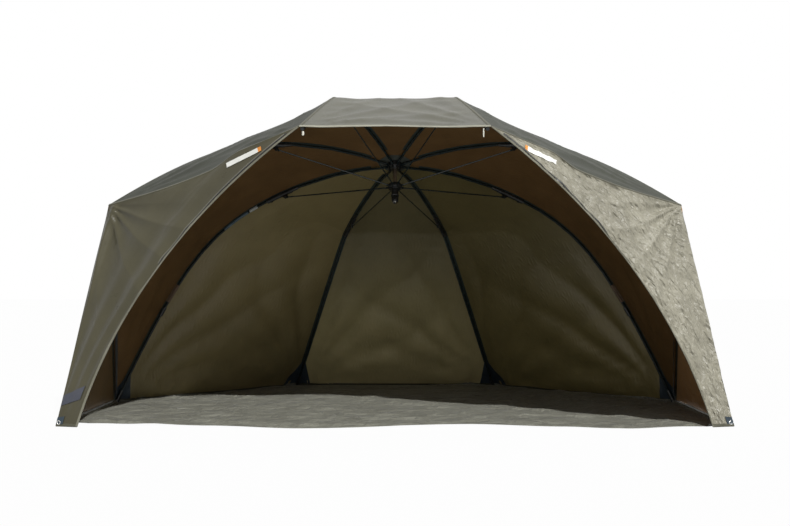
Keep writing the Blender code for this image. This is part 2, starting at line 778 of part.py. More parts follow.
def storm_side(side_name, side):
    peak_corner = stand @ cloth_lines["peak", side_name][-1]
    shoulder_corner = stand @ cloth_lines["shoulder", side_name][-1]
    side_corner = stand @ cloth_lines["side", side_name][-1]
    front_corner = to_ground(side * front_corner_half, front_corner_reach, hem_height)
    entrance_foot = to_ground(side * entrance_foot_half, entrance_foot_reach, hem_height)
    pull = to_ground(side * entrance_pull_half, entrance_pull_reach, entrance_pull_height)
    top_share = hem_gap / (front_corner - shoulder_corner).length
    forward = (front_corner - side_corner).normalized() * hem_gap
    rows = []
    for row in range(STORM_ROWS + 1):
        w = top_share + (1 - top_share) * row / STORM_ROWS
        entrance = (1 - w) ** 2 * peak_corner + 2 * w * (1 - w) * pull + w * w * entrance_foot
        crease = shoulder_corner.lerp(front_corner, w)
        strap = shoulder_corner.lerp(side_corner, w) + forward
        points = []
        for column in range(FLAP_COLUMNS):
            v = column / FLAP_COLUMNS
            fold = fold_depth * sin(pi * v) * sin(pi * w) * cos(2 * pi * fold_count * v)
            points.append(entrance.lerp(crease, v) + Vector((0, -fold, 0)))
        for column in range(WALL_COLUMNS + 1):
            points.append(crease.lerp(strap, column / WALL_COLUMNS))
        rows.append(points)
    outward = Vector((side * front_corner_half, -front_corner_reach, 0))
    cloth_object(f"storm_side_{side_name}", rows, cloth, outward, parent=None)
    wall_strap(side_name, side, shoulder_corner, side_corner)


def wall_strap(side_name, side, top, bottom):
    """Webbing inside the seam from the shoulder corner to the side foot."""
    run = (bottom - top).normalized()
    inward = Vector((-side, 0, 0))
    across = run.cross(inward).normalized()
    inward = across.cross(run)
    start = top + run * strap_end_gap + inward * strap_inset
    end = bottom - run * strap_end_gap + inward * strap_inset
    shape = bmesh.new()
    bmesh.ops.create_cube(shape, size=1, matrix=Matrix.Translation((start + end) / 2)
                          @ Matrix((run, across, inward)).transposed().to_4x4()
                          @ Matrix.Diagonal(((end - start).length, strap_width,
                                             strap_thickness, 1)))
    add_object(f"wall_strap_{side_name}", finish_mesh("wall_strap", shape), webbing)


for side_name, side in SIDES:
    storm_side(side_name, side)


def groundsheet():
    """Flat sheet inside the walls, cut back round the four feet."""
    side_foot = stand @ cloth_lines["side", "right"][-1]
    rear_foot = stand @ cloth_lines["rear", "right"][-1]
    half = [(entrance_foot_half - sheet_margin / 3, crown_y - sheet_front_reach),
            (front_corner_half - 1.5 * sheet_margin, crown_y - sheet_front_reach + sheet_margin),
            (side_foot.x - sheet_margin, side_foot.y - sheet_margin),
            (side_foot.x - 2 * sheet_margin, side_foot.y + sheet_margin / 2),
            (rear_foot.x - sheet_margin / 2, rear_foot.y - 2 * sheet_margin),
            (rear_foot.x - 1.5 * sheet_margin, rear_foot.y - sheet_margin)]
    outline = half + [(-x, y) for x, y in reversed(half)]
    shape = bmesh.new()
    face = shape.faces.new([shape.verts.new((x, y, sheet_height)) for x, y in outline])
    carried = bmesh.ops.extrude_face_region(shape, geom=[face])["geom"]
    moved = [item for item in carried if isinstance(item, bmesh.types.BMVert)]
    bmesh.ops.translate(shape, verts=moved, vec=(0, 0, sheet_thickness))
    add_object("groundsheet", finish_mesh("groundsheet", shape), sheet_cloth)


groundsheet()
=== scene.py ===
# Oval shelter umbrella for bank fishing: the looks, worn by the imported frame.
# Metres, +Z up, front towards -Y, origin on the ground under the middle of the outline.
import bpy
import bmesh
from math import atan2, cos, exp, pi, radians, sin
from mathutils import Matrix, Vector, noise


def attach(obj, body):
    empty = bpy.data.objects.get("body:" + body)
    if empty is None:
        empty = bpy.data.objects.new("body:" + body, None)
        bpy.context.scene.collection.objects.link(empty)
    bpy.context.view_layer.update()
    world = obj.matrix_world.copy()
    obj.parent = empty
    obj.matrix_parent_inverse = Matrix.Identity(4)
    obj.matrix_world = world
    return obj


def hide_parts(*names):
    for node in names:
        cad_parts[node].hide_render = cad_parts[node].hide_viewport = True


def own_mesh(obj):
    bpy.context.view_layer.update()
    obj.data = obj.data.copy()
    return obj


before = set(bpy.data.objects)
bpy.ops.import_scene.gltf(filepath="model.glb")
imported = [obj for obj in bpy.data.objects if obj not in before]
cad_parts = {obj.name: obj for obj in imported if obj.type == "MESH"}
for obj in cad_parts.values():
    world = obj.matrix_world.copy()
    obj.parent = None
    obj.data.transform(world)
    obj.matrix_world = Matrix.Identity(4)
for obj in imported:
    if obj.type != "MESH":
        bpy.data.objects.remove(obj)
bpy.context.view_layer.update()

# Camera, light and floor: a low camera five metres in front of the crown, one strong lamp
# high at the front right as the sun stood, a weak broad one behind the right side, and a
# pale floor that keeps the shadow.
camera_lens = 49.14
camera_place = (0, -4.9953, 0.5697)
camera_lift = radians(0.996)
lamps = {"key": (Vector((-0.60, 1.12, -1.0)), 4.0, radians(1.2)),
         "back": (Vector((-0.6, -0.9, -1.4)), 0.35, radians(60.0))}
ambient = 0.30
floor_half = 30.0
floor_albedo, floor_whiteness = 0.50, 0.97
floor_roughness, floor_specular = 0.9, 0.1

scene = bpy.context.scene
scene.view_settings.view_transform = 'Standard'
camera_data = bpy.data.cameras.new("camera")
camera_data.lens = camera_lens
camera = bpy.data.objects.new("camera", camera_data)
camera.location = camera_place
camera.rotation_euler = (pi / 2 + camera_lift, 0, 0)
scene.collection.objects.link(camera)
scene.camera = camera

for name, (heading, strength, angle) in lamps.items():
    lamp_data = bpy.data.lights.new(name, 'SUN')
    lamp_data.energy = strength
    lamp_data.angle = angle
    lamp = bpy.data.objects.new(name, lamp_data)
    lamp.rotation_mode = 'QUATERNION'
    lamp.rotation_quaternion = heading.to_track_quat('-Z', 'Y')
    scene.collection.objects.link(lamp)


def add_node(tree, kind, inputs=(), **settings):
    """A shader node with its settings; each input takes a value or another node's output."""
    made = tree.nodes.new("ShaderNode" + kind)
    for name, value in settings.items():
        setattr(made, name, value)
    for name, value in dict(inputs).items():
        if isinstance(value, bpy.types.NodeSocket):
            tree.links.new(value, made.inputs[name])
        else:
            made.inputs[name].default_value = value
    return made


def seen_directly(tree):
    """1 for camera, glossy and transmission rays, which see the plain white background."""
    rays = add_node(tree, "LightPath").outputs
    either = add_node(tree, "Math", {0: rays["Is Camera Ray"], 1: rays["Is Glossy Ray"]},
                      operation='MAXIMUM')
    return add_node(tree, "Math", {0: either.outputs[0], 1: rays["Is Transmission Ray"]},
                    operation='MAXIMUM').outputs[0]


def put_in_scene(name, shape, finishes):
    """The piece that a shape becomes, with its finishes."""
    mesh = bpy.data.meshes.new(name)
    shape.to_mesh(mesh)
    shape.free()
    for finish in finishes:
        mesh.materials.append(finish)
    made = bpy.data.objects.new(name, mesh)
    scene.collection.objects.link(made)
    return made


world = bpy.data.worlds.new("white studio")
scene.world = world
world.use_nodes = True
sky = world.node_tree.nodes["Background"]
sky.inputs["Color"].default_value = (1, 1, 1, 1)
sky_level = add_node(world.node_tree, "MapRange",
                     {"Value": seen_directly(world.node_tree), "To Min": ambient})
world.node_tree.links.new(sky_level.outputs[0], sky.inputs["Strength"])

floor_finish = bpy.data.materials.new("pale floor")
floor_finish.use_nodes = True
floor_tree = floor_finish.node_tree
floor_shader = floor_tree.nodes["Principled BSDF"]
floor_shader.inputs["Base Color"].default_value = (floor_albedo,) * 3 + (1,)
floor_shader.inputs["Roughness"].default_value = floor_roughness
floor_shader.inputs["Specular IOR Level"].default_value = floor_specular
floor_glow = add_node(floor_tree, "Emission")
floor_share = add_node(floor_tree, "Math", {0: seen_directly(floor_tree), 1: floor_whiteness},
                       operation='MULTIPLY')
floor_mix = add_node(floor_tree, "MixShader", {"Fac": floor_share.outputs[0],
                                               1: floor_shader.outputs[0],
                                               2: floor_glow.outputs[0]})
floor_tree.links.new(floor_mix.outputs[0], floor_tree.nodes["Material Output"].inputs["Surface"])
floor_shape = bmesh.new()
bmesh.ops.create_grid(floor_shape, x_segments=1, y_segments=1, size=floor_half)
floor = put_in_scene("floor", floor_shape, [floor_finish])


# Crown, runner, boss and brackets: black moulded nylon with a fine spark-eroded grain,
# a grey-green disc under the cloth, an aluminium stub and bright steel for ring and socket.
grain_bump = 0.35
wear_stops = (0.35, 0.70)


def number_group(name, inputs, outputs):
    """A node group that takes numbers, each with its default, and gives numbers."""
    group = bpy.data.node_groups.new(name, 'ShaderNodeTree')
    for label, value in inputs.items():
        socket = group.interface.new_socket(label, in_out='INPUT', socket_type='NodeSocketFloat')
        socket.default_value = value
    for label in outputs:
        group.interface.new_socket(label, in_out='OUTPUT', socket_type='NodeSocketFloat')
    return group, group.nodes.new("NodeGroupInput"), group.nodes.new("NodeGroupOutput")


def grain_group():
    """Fine moulded grain and faint handling marks."""
    group, start, end = number_group("moulded grain", {"Grain per metre": 900.0},
                                     ("Height", "Marks"))
    place = add_node(group, "TexCoord").outputs["Object"]
    fine = add_node(group, "TexNoise", {"Vector": place, "Detail": 3.0,
                                        "Scale": start.outputs["Grain per metre"]})
    broad = add_node(group, "TexNoise", {"Vector": place, "Scale": 38.0, "Detail": 5.0,
                                         "Roughness": 0.65})
    group.links.new(fine.outputs["Fac"], end.inputs["Height"])
    group.links.new(broad.outputs["Fac"], end.inputs["Marks"])
    return group


moulded_grain = grain_group()


def new_finish(name, pattern, settings):
    """A new material: itself, its node tree, its shader and its pattern's node."""
    made = bpy.data.materials.new(name)
    made.use_nodes = True
    tree = made.node_tree
    return (made, tree, tree.nodes["Principled BSDF"],
            add_node(tree, "Group", settings, node_tree=pattern))


def drift(tree, shader, amount, tones, stops, roughness, less, more):
    """Lets colour and roughness drift with an amount, and gives the colour."""
    tone = add_node(tree, "ValToRGB", {"Fac": amount})
    for stop, place, colour in zip(tone.color_ramp.elements, stops, tones):
        stop.position = place
        stop.color = (*colour, 1)
    gloss = add_node(tree, "MapRange", {"Value": amount, "To Min": roughness - less,
                                        "To Max": roughness + more})
    tree.links.new(tone.outputs["Color"], shader.inputs["Base Color"])
    tree.links.new(gloss.outputs[0], shader.inputs["Roughness"])
    return tone.outputs["Color"]


def hard_finish(name, dark, light, roughness, grain, grain_depth, metallic=0.0, marks=0.12):
    """A hard surface whose colour and roughness drift between two marks of wear."""
    made, tree, shader, wear = new_finish(name, moulded_grain, {"Grain per metre": grain})
    drift(tree, shader, wear.outputs["Marks"], (dark, light), wear_stops, roughness, marks, marks)
    bump = add_node(tree, "Bump", {"Strength": grain_bump, "Distance": grain_depth,
                                   "Height": wear.outputs["Height"]})
    tree.links.new(bump.outputs["Normal"], shader.inputs["Normal"])
    shader.inputs["Metallic"].default_value = metallic
    return made


black_moulding = hard_finish("black moulded nylon", (0.012, 0.014, 0.014), (0.030, 0.033, 0.032),
                             0.42, 900.0, 0.0004)
disc_moulding = hard_finish("grey green disc moulding", (0.060, 0.068, 0.058),
                            (0.095, 0.104, 0.090), 0.55, 700.0, 0.0003)
stub_metal = hard_finish("drawn aluminium", (0.48, 0.49, 0.49), (0.62, 0.63, 0.63), 0.34,
                         1400.0, 0.0001, metallic=1.0)
bright_steel = hard_finish("bright steel", (0.55, 0.55, 0.53), (0.70, 0.70, 0.68), 0.24,
                           1400.0, 0.0001, metallic=1.0, marks=0.08)


def dress(node, finish):
    """Gives a CAD node its finish."""
    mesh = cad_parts[node].data
    if not mesh.materials:
        mesh.materials.append(finish)
    for index in range(len(mesh.materials)):
        mesh.materials[index] = finish


for node in ("crown_hub", "top_cap", "runner", "catch_button", "end_boss"):
    dress(node, black_moulding)
dress("crown_disc", disc_moulding)
dress("stub_shaft", stub_metal)
for node in ("hinge_ring", "pole_insert"):
    dress(node, bright_steel)

# Ribs and stretchers: eight solid fibre rods with a green-black glossy skin, each with a
# bowed run, one bend and a moulded end; their stretchers are thinner straight rods.
rod_skin = hard_finish("green black rod skin", (0.013, 0.022, 0.023), (0.019, 0.031, 0.033),
                       0.24, 300.0, 0.00005, marks=0.02)
rib_kinds = ("peak", "shoulder", "side", "rear")
rib_sides = {"left": -1, "right": 1}
for kind in rib_kinds:
    end = "foot" if kind in ("side", "rear") else "tip_cup"
    for side_name in rib_sides:
        for part in ("rib", "stretcher"):
            dress(f"{kind}_{side_name}_{part}", rod_skin)
        for part in ("bracket", end):
            dress(f"{kind}_{side_name}_{part}", black_moulding)
for side_name in rib_sides:
    dress(f"side_{side_name}_ferrule", black_moulding)

# Canopy: eight gores of coated nylon sewn together over the ribs, olive outside, brown inside
# in front and olive behind. All gores but the peak wear a darker grey green copy of the olive,
# which is painted shade; the olive linings are pale, and scaled with height, as painted light
# shining through the cloth. Each gore is cut down its middle, and each half goes with the rib
# beside it.
crown_height, crown_y = 1.116, 0.004706
tilt = radians(24.6)
azimuth_step = radians(45.0)
pin = Vector((0.026, 0, -0.012))
inner_length, bow_radius, crown_rise = 0.635, 1.333, radians(10.0)
bowed_stations = (0.1397, 0.28575, 0.475, inner_length)
canopy_lift, tip_lift = 0.0095, 0.0170
inner_radius, disc_edge, disc_top = 0.0045, 0.0796, 0.0068
bend_count = 9
hem_height = 0.004
canopy_sag = 0.010
cloth_wall = 0.0011

stand = Matrix.Translation((0, crown_y, crown_height)) @ Matrix.Rotation(-tilt, 4, 'X')
shelter_middle = Vector((0, crown_y, 0.50))
azimuths = {kind: azimuth_step * (i + 0.5) for i, kind in enumerate(rib_kinds)}


def grounded_drop(reach, azimuth):
    """How far below the crown a rod's tip lies that reaches the ground."""
    return (crown_height + reach * cos(azimuth) * sin(tilt)) / cos(tilt)


rib_tips = {"peak": (0.9315, 0.3665, (0.058, 0.725, 0.670)),
            "shoulder": (1.2435, 0.492, (0.392, 0.642, 0.692)),
            "side": (1.4215, grounded_drop(1.4215, azimuths["side"]), (0.539, 0.788, 0.821)),
            "rear": (1.404, grounded_drop(1.404, azimuths["rear"]), (0.060, 0.742, 0.741))}


def bowed(distance):
    """The inner run of a rod, a distance from its pin: where it is and the way that it runs."""
    slope = distance / bow_radius - crown_rise
    chord = Vector((sin(slope) + sin(crown_rise), 0, cos(slope) - cos(crown_rise)))
    return pin + chord * bow_radius, Vector((cos(slope), 0, -sin(slope)))


def rod_point(kind, t):
    """The rod's centre line along its bend, from 0 to 1, and the way that it runs there."""
    reach, drop, (corner_share, leave_share, arrive_share) = rib_tips[kind]
    start, heading = bowed(inner_length)
    tip = Vector((reach, 0, -drop))
    corner = start + heading * ((reach - start.x) * corner_share / heading.x)
    first = start.lerp(corner, leave_share)
    second = tip.lerp(corner, arrive_share)
    s = 1 - t
    place = s ** 3 * start + 3 * s * s * t * first + 3 * s * t * t * second + t ** 3 * tip
    run = (s * s * (first - start) + 2 * s * t * (second - first) + t * t * (tip - second))
    return place, run.normalized()


def above(run):
    """The way up from a rod that runs this way."""
    return Vector((-run.z, 0, run.x))


def cloth_lift(t):
    """How far the cloth lies above the rod's centre line along its bend."""
    return canopy_lift + (tip_lift - canopy_lift) * t * t


def rib_frame(kind, side):
    """A rib's own frame: its origin at the crown, its rod outward along X."""
    azimuth = azimuths[kind]
    return stand @ Matrix.Rotation(atan2(-cos(azimuth), side * sin(azimuth)), 4, 'Z')


def around(azimuth, side):
    """The way round the leaning crown at an azimuth, from its front towards its back."""
    return stand.to_3x3() @ Vector((side * cos(azimuth), sin(azimuth), 0))


bend_start = 1 + len(bowed_stations)
last_station = bend_start + bend_count


def cloth_point(kind, station):
    """The seam over a rib: 0 at the crown, 1 at the disc's edge, 5 where the bend starts and
    14 at the hem."""
    if station > bend_start:
        t = (station - bend_start) / bend_count
        place, run = rod_point(kind, t)
        place = place + above(run) * cloth_lift(t)
        reach_down = max(0.0, (t * bend_count - bend_count + 1))
        if kind in ("side", "rear") and reach_down:
            tip_place, tip_run = rod_point(kind, 1.0)
            tip_place = tip_place + above(tip_run) * tip_lift
            rise = cos(azimuths[kind]) * sin(tilt)
            tip_high = crown_height + tip_place.x * rise + tip_place.z * cos(tilt)
            tip_fall = -(tip_run.x * rise + tip_run.z * cos(tilt))
            place = place + tip_run * ((tip_high - hem_height) / tip_fall * reach_down)
        return place
    if station > 2:
        index = min(int(station) - 2, len(bowed_stations) - 2)
        near, far = bowed_stations[index], bowed_stations[index + 1]
        place, run = bowed(near + (far - near) * (station - 2 - index))
        return place + above(run) * canopy_lift
    place, run = bowed(bowed_stations[0])
    marks = [Vector((inner_radius, 0, disc_top)), Vector((disc_edge, 0, disc_top)),
             place + above(run) * canopy_lift]
    index = min(int(station), 1)
    return marks[index].lerp(marks[index + 1], station - index)


def hem_corner(kind, side):
    """The corner that two gores share at a rib's end."""
    return rib_frame(kind, side) @ cloth_point(kind, last_station)


def outward(direction, point):
    """A direction, turned about if it faces the middle of the shelter."""
    return -direction if direction.dot(point - shelter_middle) < 0 else direction


def run_at(line, i):
    """The way that a line of points runs past one of them."""
    return line[min(i + 1, len(line) - 1)] - line[max(i - 1, 0)]


def outward_normals(rows):
    """One normal at each point of a sheet, facing away from the middle of the shelter."""
    columns = list(zip(*rows))
    normals = []
    for r, row in enumerate(rows):
        line = []
        for c, point in enumerate(row):
            normal = run_at(row, c).cross(run_at(columns[c], r))
            if normal.length < 1e-12:
                normal = point - shelter_middle
            line.append(outward(normal.normalized(), point))
        normals.append(line)
    return normals


def displaced(rows, push):
    """Each point moved along its normal by push(row, column, point)."""
    normals = outward_normals(rows)
    return [[point + normals[r][c] * push(r, c, point) for c, point in enumerate(row)]
            for r, row in enumerate(rows)]


def pattern_places(rows):
    """The flat cut of a sheet: each row straightened out, stacked down its middle column."""
    middle = len(rows[0]) // 2
    down, places = 0.0, []
    for r, row in enumerate(rows):
        if r:
            down += (row[middle] - rows[r - 1][middle]).length
        steps = [0.0]
        for before, point in zip(row, row[1:]):
            steps.append(steps[-1] + (point - before).length)
        places.append([(step - steps[middle], down) for step in steps])
    return places


def sheet_shape(rows, outer=None):
    """An open sheet through rows of points, its flat cut in metres kept as its UV map."""
    shape = bmesh.new()
    across = len(rows[0])
    made = bmesh.ops.create_grid(shape, x_segments=across - 1, y_segments=len(rows) - 1, size=1)
    places = pattern_places(rows)
    cut = shape.loops.layers.uv.new("cut")
    for index, corner in enumerate(made["verts"]):
        r, c = divmod(index, across)
        corner.co = rows[r][c]
        for loop in corner.link_loops:
            loop[cut].uv = places[r][c]
    shape.normal_update()
    if outer is None:
        facing = sum(face.normal.dot(face.calc_center_median() - shelter_middle)
                     * face.calc_area() for face in shape.faces)
    else:
        facing = (rows[0][1] - rows[0][0]).cross(rows[1][0] - rows[0][0]).dot(outer)
    if facing < 0:
        bmesh.ops.reverse_faces(shape, faces=shape.faces)
    return shape


cut_turns = 30
sliver_share, sliver_fill = 0.31, 0.9


def flat_size(shape, area):
    """The rectangle that a flat cut comes out of: the smallest of those turned in steps. A
    curved sliver, which fills little of one, counts by its mean width."""
    cut = shape.loops.layers.uv["cut"]
    places = [loop[cut].uv.copy() for face in shape.faces for loop in face.loops]
    best = None
    for step in range(cut_turns):
        turn = pi / 2 * step / cut_turns
        size = []
        for x, y in ((cos(turn), sin(turn)), (-sin(turn), cos(turn))):
            reaches = [place.x * x + place.y * y for place in places]
            size.append(max(reaches) - min(reaches))
        if best is None or size[0] * size[1] < best[0] * best[1]:
            best = size
    if area < sliver_share * best[0] * best[1]:
        longest = max(best)
        best = [area / (sliver_fill * longest), longest]
    return best


def keep_normals(shape):
    """Notes each point's normal, for parts that are cut from the sheet later."""
    shape.normal_update()
    uncut = shape.verts.layers.float_vector.new("uncut")
    for corner in shape.verts:
        corner[uncut] = corner.normal


def thicken(part, wall):
    """Gives an open sheet its inner face, every point moved straight in, and returns it."""
    laid = part.verts.layers.float_vector.new("laid")
    for corner in part.verts:
        corner[laid] = corner.co
    outer = set(part.verts)
    bmesh.ops.solidify(part, geom=part.faces, thickness=wall)
    laid = part.verts.layers.float_vector["laid"]
    uncut = part.verts.layers.float_vector["uncut"]
    inner = set(part.verts) - outer
    for corner in inner:
        corner.co = corner[laid] - corner[uncut].normalized() * wall
    return {face for face in part.faces if all(corner in inner for corner in face.verts)}


def drop_notes(mesh):
    """Takes away what keep_normals and thicken noted."""
    for layer in ("uncut", "laid"):
        mesh.attributes.remove(mesh.attributes[layer])


def sew(name, rows, ribs_beside, finishes, stands_for=(), wall=cloth_wall,
        outer=None):
    """Cuts a sheet at the planes between ribs, gives each part its wall, and lets it ride on
    its rib. Each part keeps the uncut sheet's shading, so no line shows where two of them
    meet."""
    shape = sheet_shape(rows, outer)
    keep_normals(shape)
    for kind, side_name in ribs_beside:
        side = rib_sides[side_name]
        part = shape.copy()
        for step, keep in ((-0.5, "clear_inner"), (0.5, "clear_outer")):
            bmesh.ops.bisect_plane(part, geom=part.verts[:] + part.edges[:] + part.faces[:],
                                   dist=1e-6, plane_co=stand.translation,
                                   plane_no=around(azimuths[kind] + azimuth_step * step, side),
                                   **{keep: True})
        if not part.faces:
            part.free()
            continue
        bmesh.ops.triangulate(part, faces=part.faces[:])
        area = sum(face.calc_area() for face in part.faces)
        size = flat_size(part, area)
        outside = set(part.faces)
        inside = thicken(part, wall)
        part.normal_update()
        uncut = part.verts.layers.float_vector["uncut"]
        normals = []
        for face in part.faces:
            face.material_index = int(face in inside and len(finishes) > 1)
            facing = 1 if face in outside else -1 if face in inside else 0
            for loop in face.loops:
                normals.append(facing * loop.vert[uncut] if facing else face.normal.copy())
        label = f"{kind}_{side_name}"
        piece = put_in_scene(f"{name}_{label}", part, finishes)
        piece.data.shade_smooth()
        drop_notes(piece.data)
        piece.data.normals_split_custom_set(normals)
        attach(piece, f"{label}_rib")
        if stands_for:
            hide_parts(*stands_for)
        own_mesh(piece)
    shape.free()


def cloth_group():
    """Plain weave, crinkles, crumpled facets and a soft mottle, from a sheet's flat cut."""
    group, start, end = number_group(
        "coated weave", {"Threads per metre": 900.0, "Crinkles per metre": 26.0, "Stretch": 2.4},
        ("Weave", "Crinkle", "Crumple", "Mottle"))
    place = add_node(group, "TexCoord").outputs
    threads = add_node(group, "Math", {0: start.outputs["Threads per metre"], 1: 0.5 / pi},
                       operation='MULTIPLY')
    waves = [add_node(group, "TexWave", {"Vector": place["UV"], "Scale": threads.outputs[0]},
                      bands_direction=direction).outputs["Fac"] for direction in ('X', 'Y')]
    weave = add_node(group, "Math", {0: waves[0], 1: waves[1]}, operation='MULTIPLY')
    squeeze = add_node(group, "CombineXYZ", {"X": start.outputs["Stretch"], "Y": 1.0, "Z": 1.0})
    mapped = add_node(group, "VectorMath", {0: place["UV"], 1: squeeze.outputs[0]},
                      operation='MULTIPLY').outputs[0]
    crinkles = start.outputs["Crinkles per metre"]
    creases = add_node(group, "TexNoise", {"Vector": mapped, "Scale": crinkles, "Detail": 4.0,
                                           "Roughness": 0.55}, noise_type='RIDGED_MULTIFRACTAL')
    sway = add_node(group, "TexNoise", {"Vector": mapped, "Scale": 14.0, "Detail": 3.0})
    swayed = add_node(group, "VectorMath", {0: sway.outputs["Color"], 1: (0.07, 0.07, 0.07),
                                            2: mapped}, operation='MULTIPLY_ADD')
    facets = add_node(group, "TexVoronoi", {"Vector": swayed.outputs[0], "Scale": crinkles,
                                            "Detail": 1.5, "Roughness": 0.55,
                                            "Lacunarity": 2.3}, distance='MANHATTAN')
    mottle = add_node(group, "TexNoise", {"Vector": place["Object"], "Scale": 7.0, "Detail": 6.0,
                                          "Roughness": 0.6})
    for label, value in (("Weave", weave.outputs[0]), ("Crinkle", creases.outputs["Fac"]),
                         ("Crumple", facets.outputs["Distance"]),
                         ("Mottle", mottle.outputs["Fac"])):
        group.links.new(value, end.inputs[label])
    return group


coated_weave = cloth_group()
mottle_stops = (0.34, 0.68)
less_rough, more_rough = 0.07, 0.09
crease_bump, thread_bump, sheen_roughness = 0.7, 0.25, 0.35


def cloth_finish(name, dark, light, roughness, crinkle_depth, crinkles=26.0, stretch=2.4,
                 threads=900.0, weave_depth=0.00025, sheen=0.0, specular=0.5,
                 folds="Crinkle", painted_light_fade=None):
    """A woven sheet whose colour drifts between two tones, with its weave and crinkles. A painted
    light fade is two heights and the gain of its colour at each of them: painted light, brighter
    or darker with height."""
    made, tree, shader, weave = new_finish(name, coated_weave,
                                           {"Threads per metre": threads,
                                            "Crinkles per metre": crinkles, "Stretch": stretch})
    colour = drift(tree, shader, weave.outputs["Mottle"], (dark, light), mottle_stops,
                   roughness, less_rough, more_rough)
    # Painted light: the colour is scaled by the height of each point.
    if painted_light_fade:
        spot = add_node(tree, "TexCoord")
        split = add_node(tree, "SeparateXYZ", {0: spot.outputs["Object"]})
        gain = dict(zip(("From Min", "From Max", "To Min", "To Max"), painted_light_fade))
        level = add_node(tree, "MapRange", {"Value": split.outputs["Z"], **gain},
                         interpolation_type='SMOOTHSTEP')
        painted_glow_colour = add_node(tree, "VectorMath", {0: colour, "Scale": level.outputs[0]},
                          operation='SCALE')
        tree.links.new(painted_glow_colour.outputs[0], shader.inputs["Base Color"])
    crease = add_node(tree, "Bump", {"Strength": crease_bump, "Distance": crinkle_depth,
                                     "Height": weave.outputs[folds]})
    woven = add_node(tree, "Bump", {"Strength": thread_bump, "Distance": weave_depth,
                                    "Height": weave.outputs["Weave"],
                                    "Normal": crease.outputs["Normal"]})
    tree.links.new(woven.outputs["Normal"], shader.inputs["Normal"])
    shader.inputs["Sheen Weight"].default_value = sheen
    shader.inputs["Sheen Roughness"].default_value = sheen_roughness
    shader.inputs["Specular IOR Level"].default_value = specular
    return made


olive_nylon = cloth_finish("olive coated nylon", (0.070, 0.069, 0.050), (0.086, 0.084, 0.060),
                           0.42, 0.0016, sheen=0.12, specular=0.30)
# The roof gores' cloth: the olive nylon darkened to grey green, as painted shade.
roof_nylon_painted_shade = cloth_finish("grey green roof nylon painted shade", (0.037, 0.039, 0.030), (0.048, 0.051, 0.039),
                          0.50, 0.0012, sheen=0.02, specular=0.05)
brown_lining = cloth_finish("brown roof lining", (0.135, 0.076, 0.029), (0.175, 0.100, 0.039),
                            0.50, 0.0018, specular=0.2)
# The wall and rear linings are pale olive and scaled with height: painted light shining through
# the cloth, the left wall brighter upward, the right wall and rear brighter towards the ground.
painted_glow_wall_linings = {
    "left": cloth_finish("olive left wall lining painted glow", (0.185, 0.150, 0.068), (0.215, 0.175, 0.080),
                         0.42, 0.0026, specular=0.45, painted_light_fade=(0.10, 0.75, 1.05, 1.35)),
    "right": cloth_finish("olive right wall lining painted glow", (0.180, 0.148, 0.060), (0.212, 0.175, 0.071),
                          0.42, 0.0026, specular=0.45, painted_light_fade=(0.10, 0.75, 1.30, 0.78))}
painted_glow_rear_lining = cloth_finish("olive rear lining painted glow", (0.180, 0.156, 0.078), (0.212, 0.184, 0.093),
                           0.42, 0.0026, specular=0.45, painted_light_fade=(0.12, 0.85, 2.60, 0.85))

panel_columns = 48
panel_stations = ([0.0, 0.5] + [1 + i * 0.25 for i in range(16)]
                  + [5 + i * 0.2 for i in range(int(bend_count / 0.2) + 1)])
seam_wave, seam_pucker, seam_reach = 0.075, 0.0024, 0.080
seam_calm, calm_ramp, narrow_gore, foot_calm = 0.020, 0.080, 0.25, 0.04
fan_depth, fan_reach, fan_folds = 0.0085, 0.26, 19.0
rear_fans, roof_fans = 2.0, 0.35
hem_sag, hem_fall, sag_stations = 0.034, Vector((0, -0.25, -0.97)), 3.5
sag_begin, sag_full = 0.29, 0.45
drift_depth, drift_size = 0.0045, 0.30


def between(marks, x, eased=False):
    """The value at x of marks that are pairs of x and value, in straight or eased steps."""
    for (x0, y0), (x1, y1) in zip(marks, marks[1:]):
        if x <= x1:
            break
    s = min(1.0, max(0.0, (x - x0) / (x1 - x0)))
    return y0 + (y1 - y0) * (s * s * (3 - 2 * s) if eased else s)


def hem_drop(across):
    """How far the roof's side hem hangs below a straight line: not at all along the bands
    beside the peak, then a few centimetres."""
    return hem_sag * sin(pi * across) * between(((sag_begin, 0), (sag_full, 1)), across, True)


def creased(phase):
    """A wave from -1 to 1 with sharp ridges and broad hollows."""
    return 1 - 2 * abs(sin(phase / 2)) ** 0.8


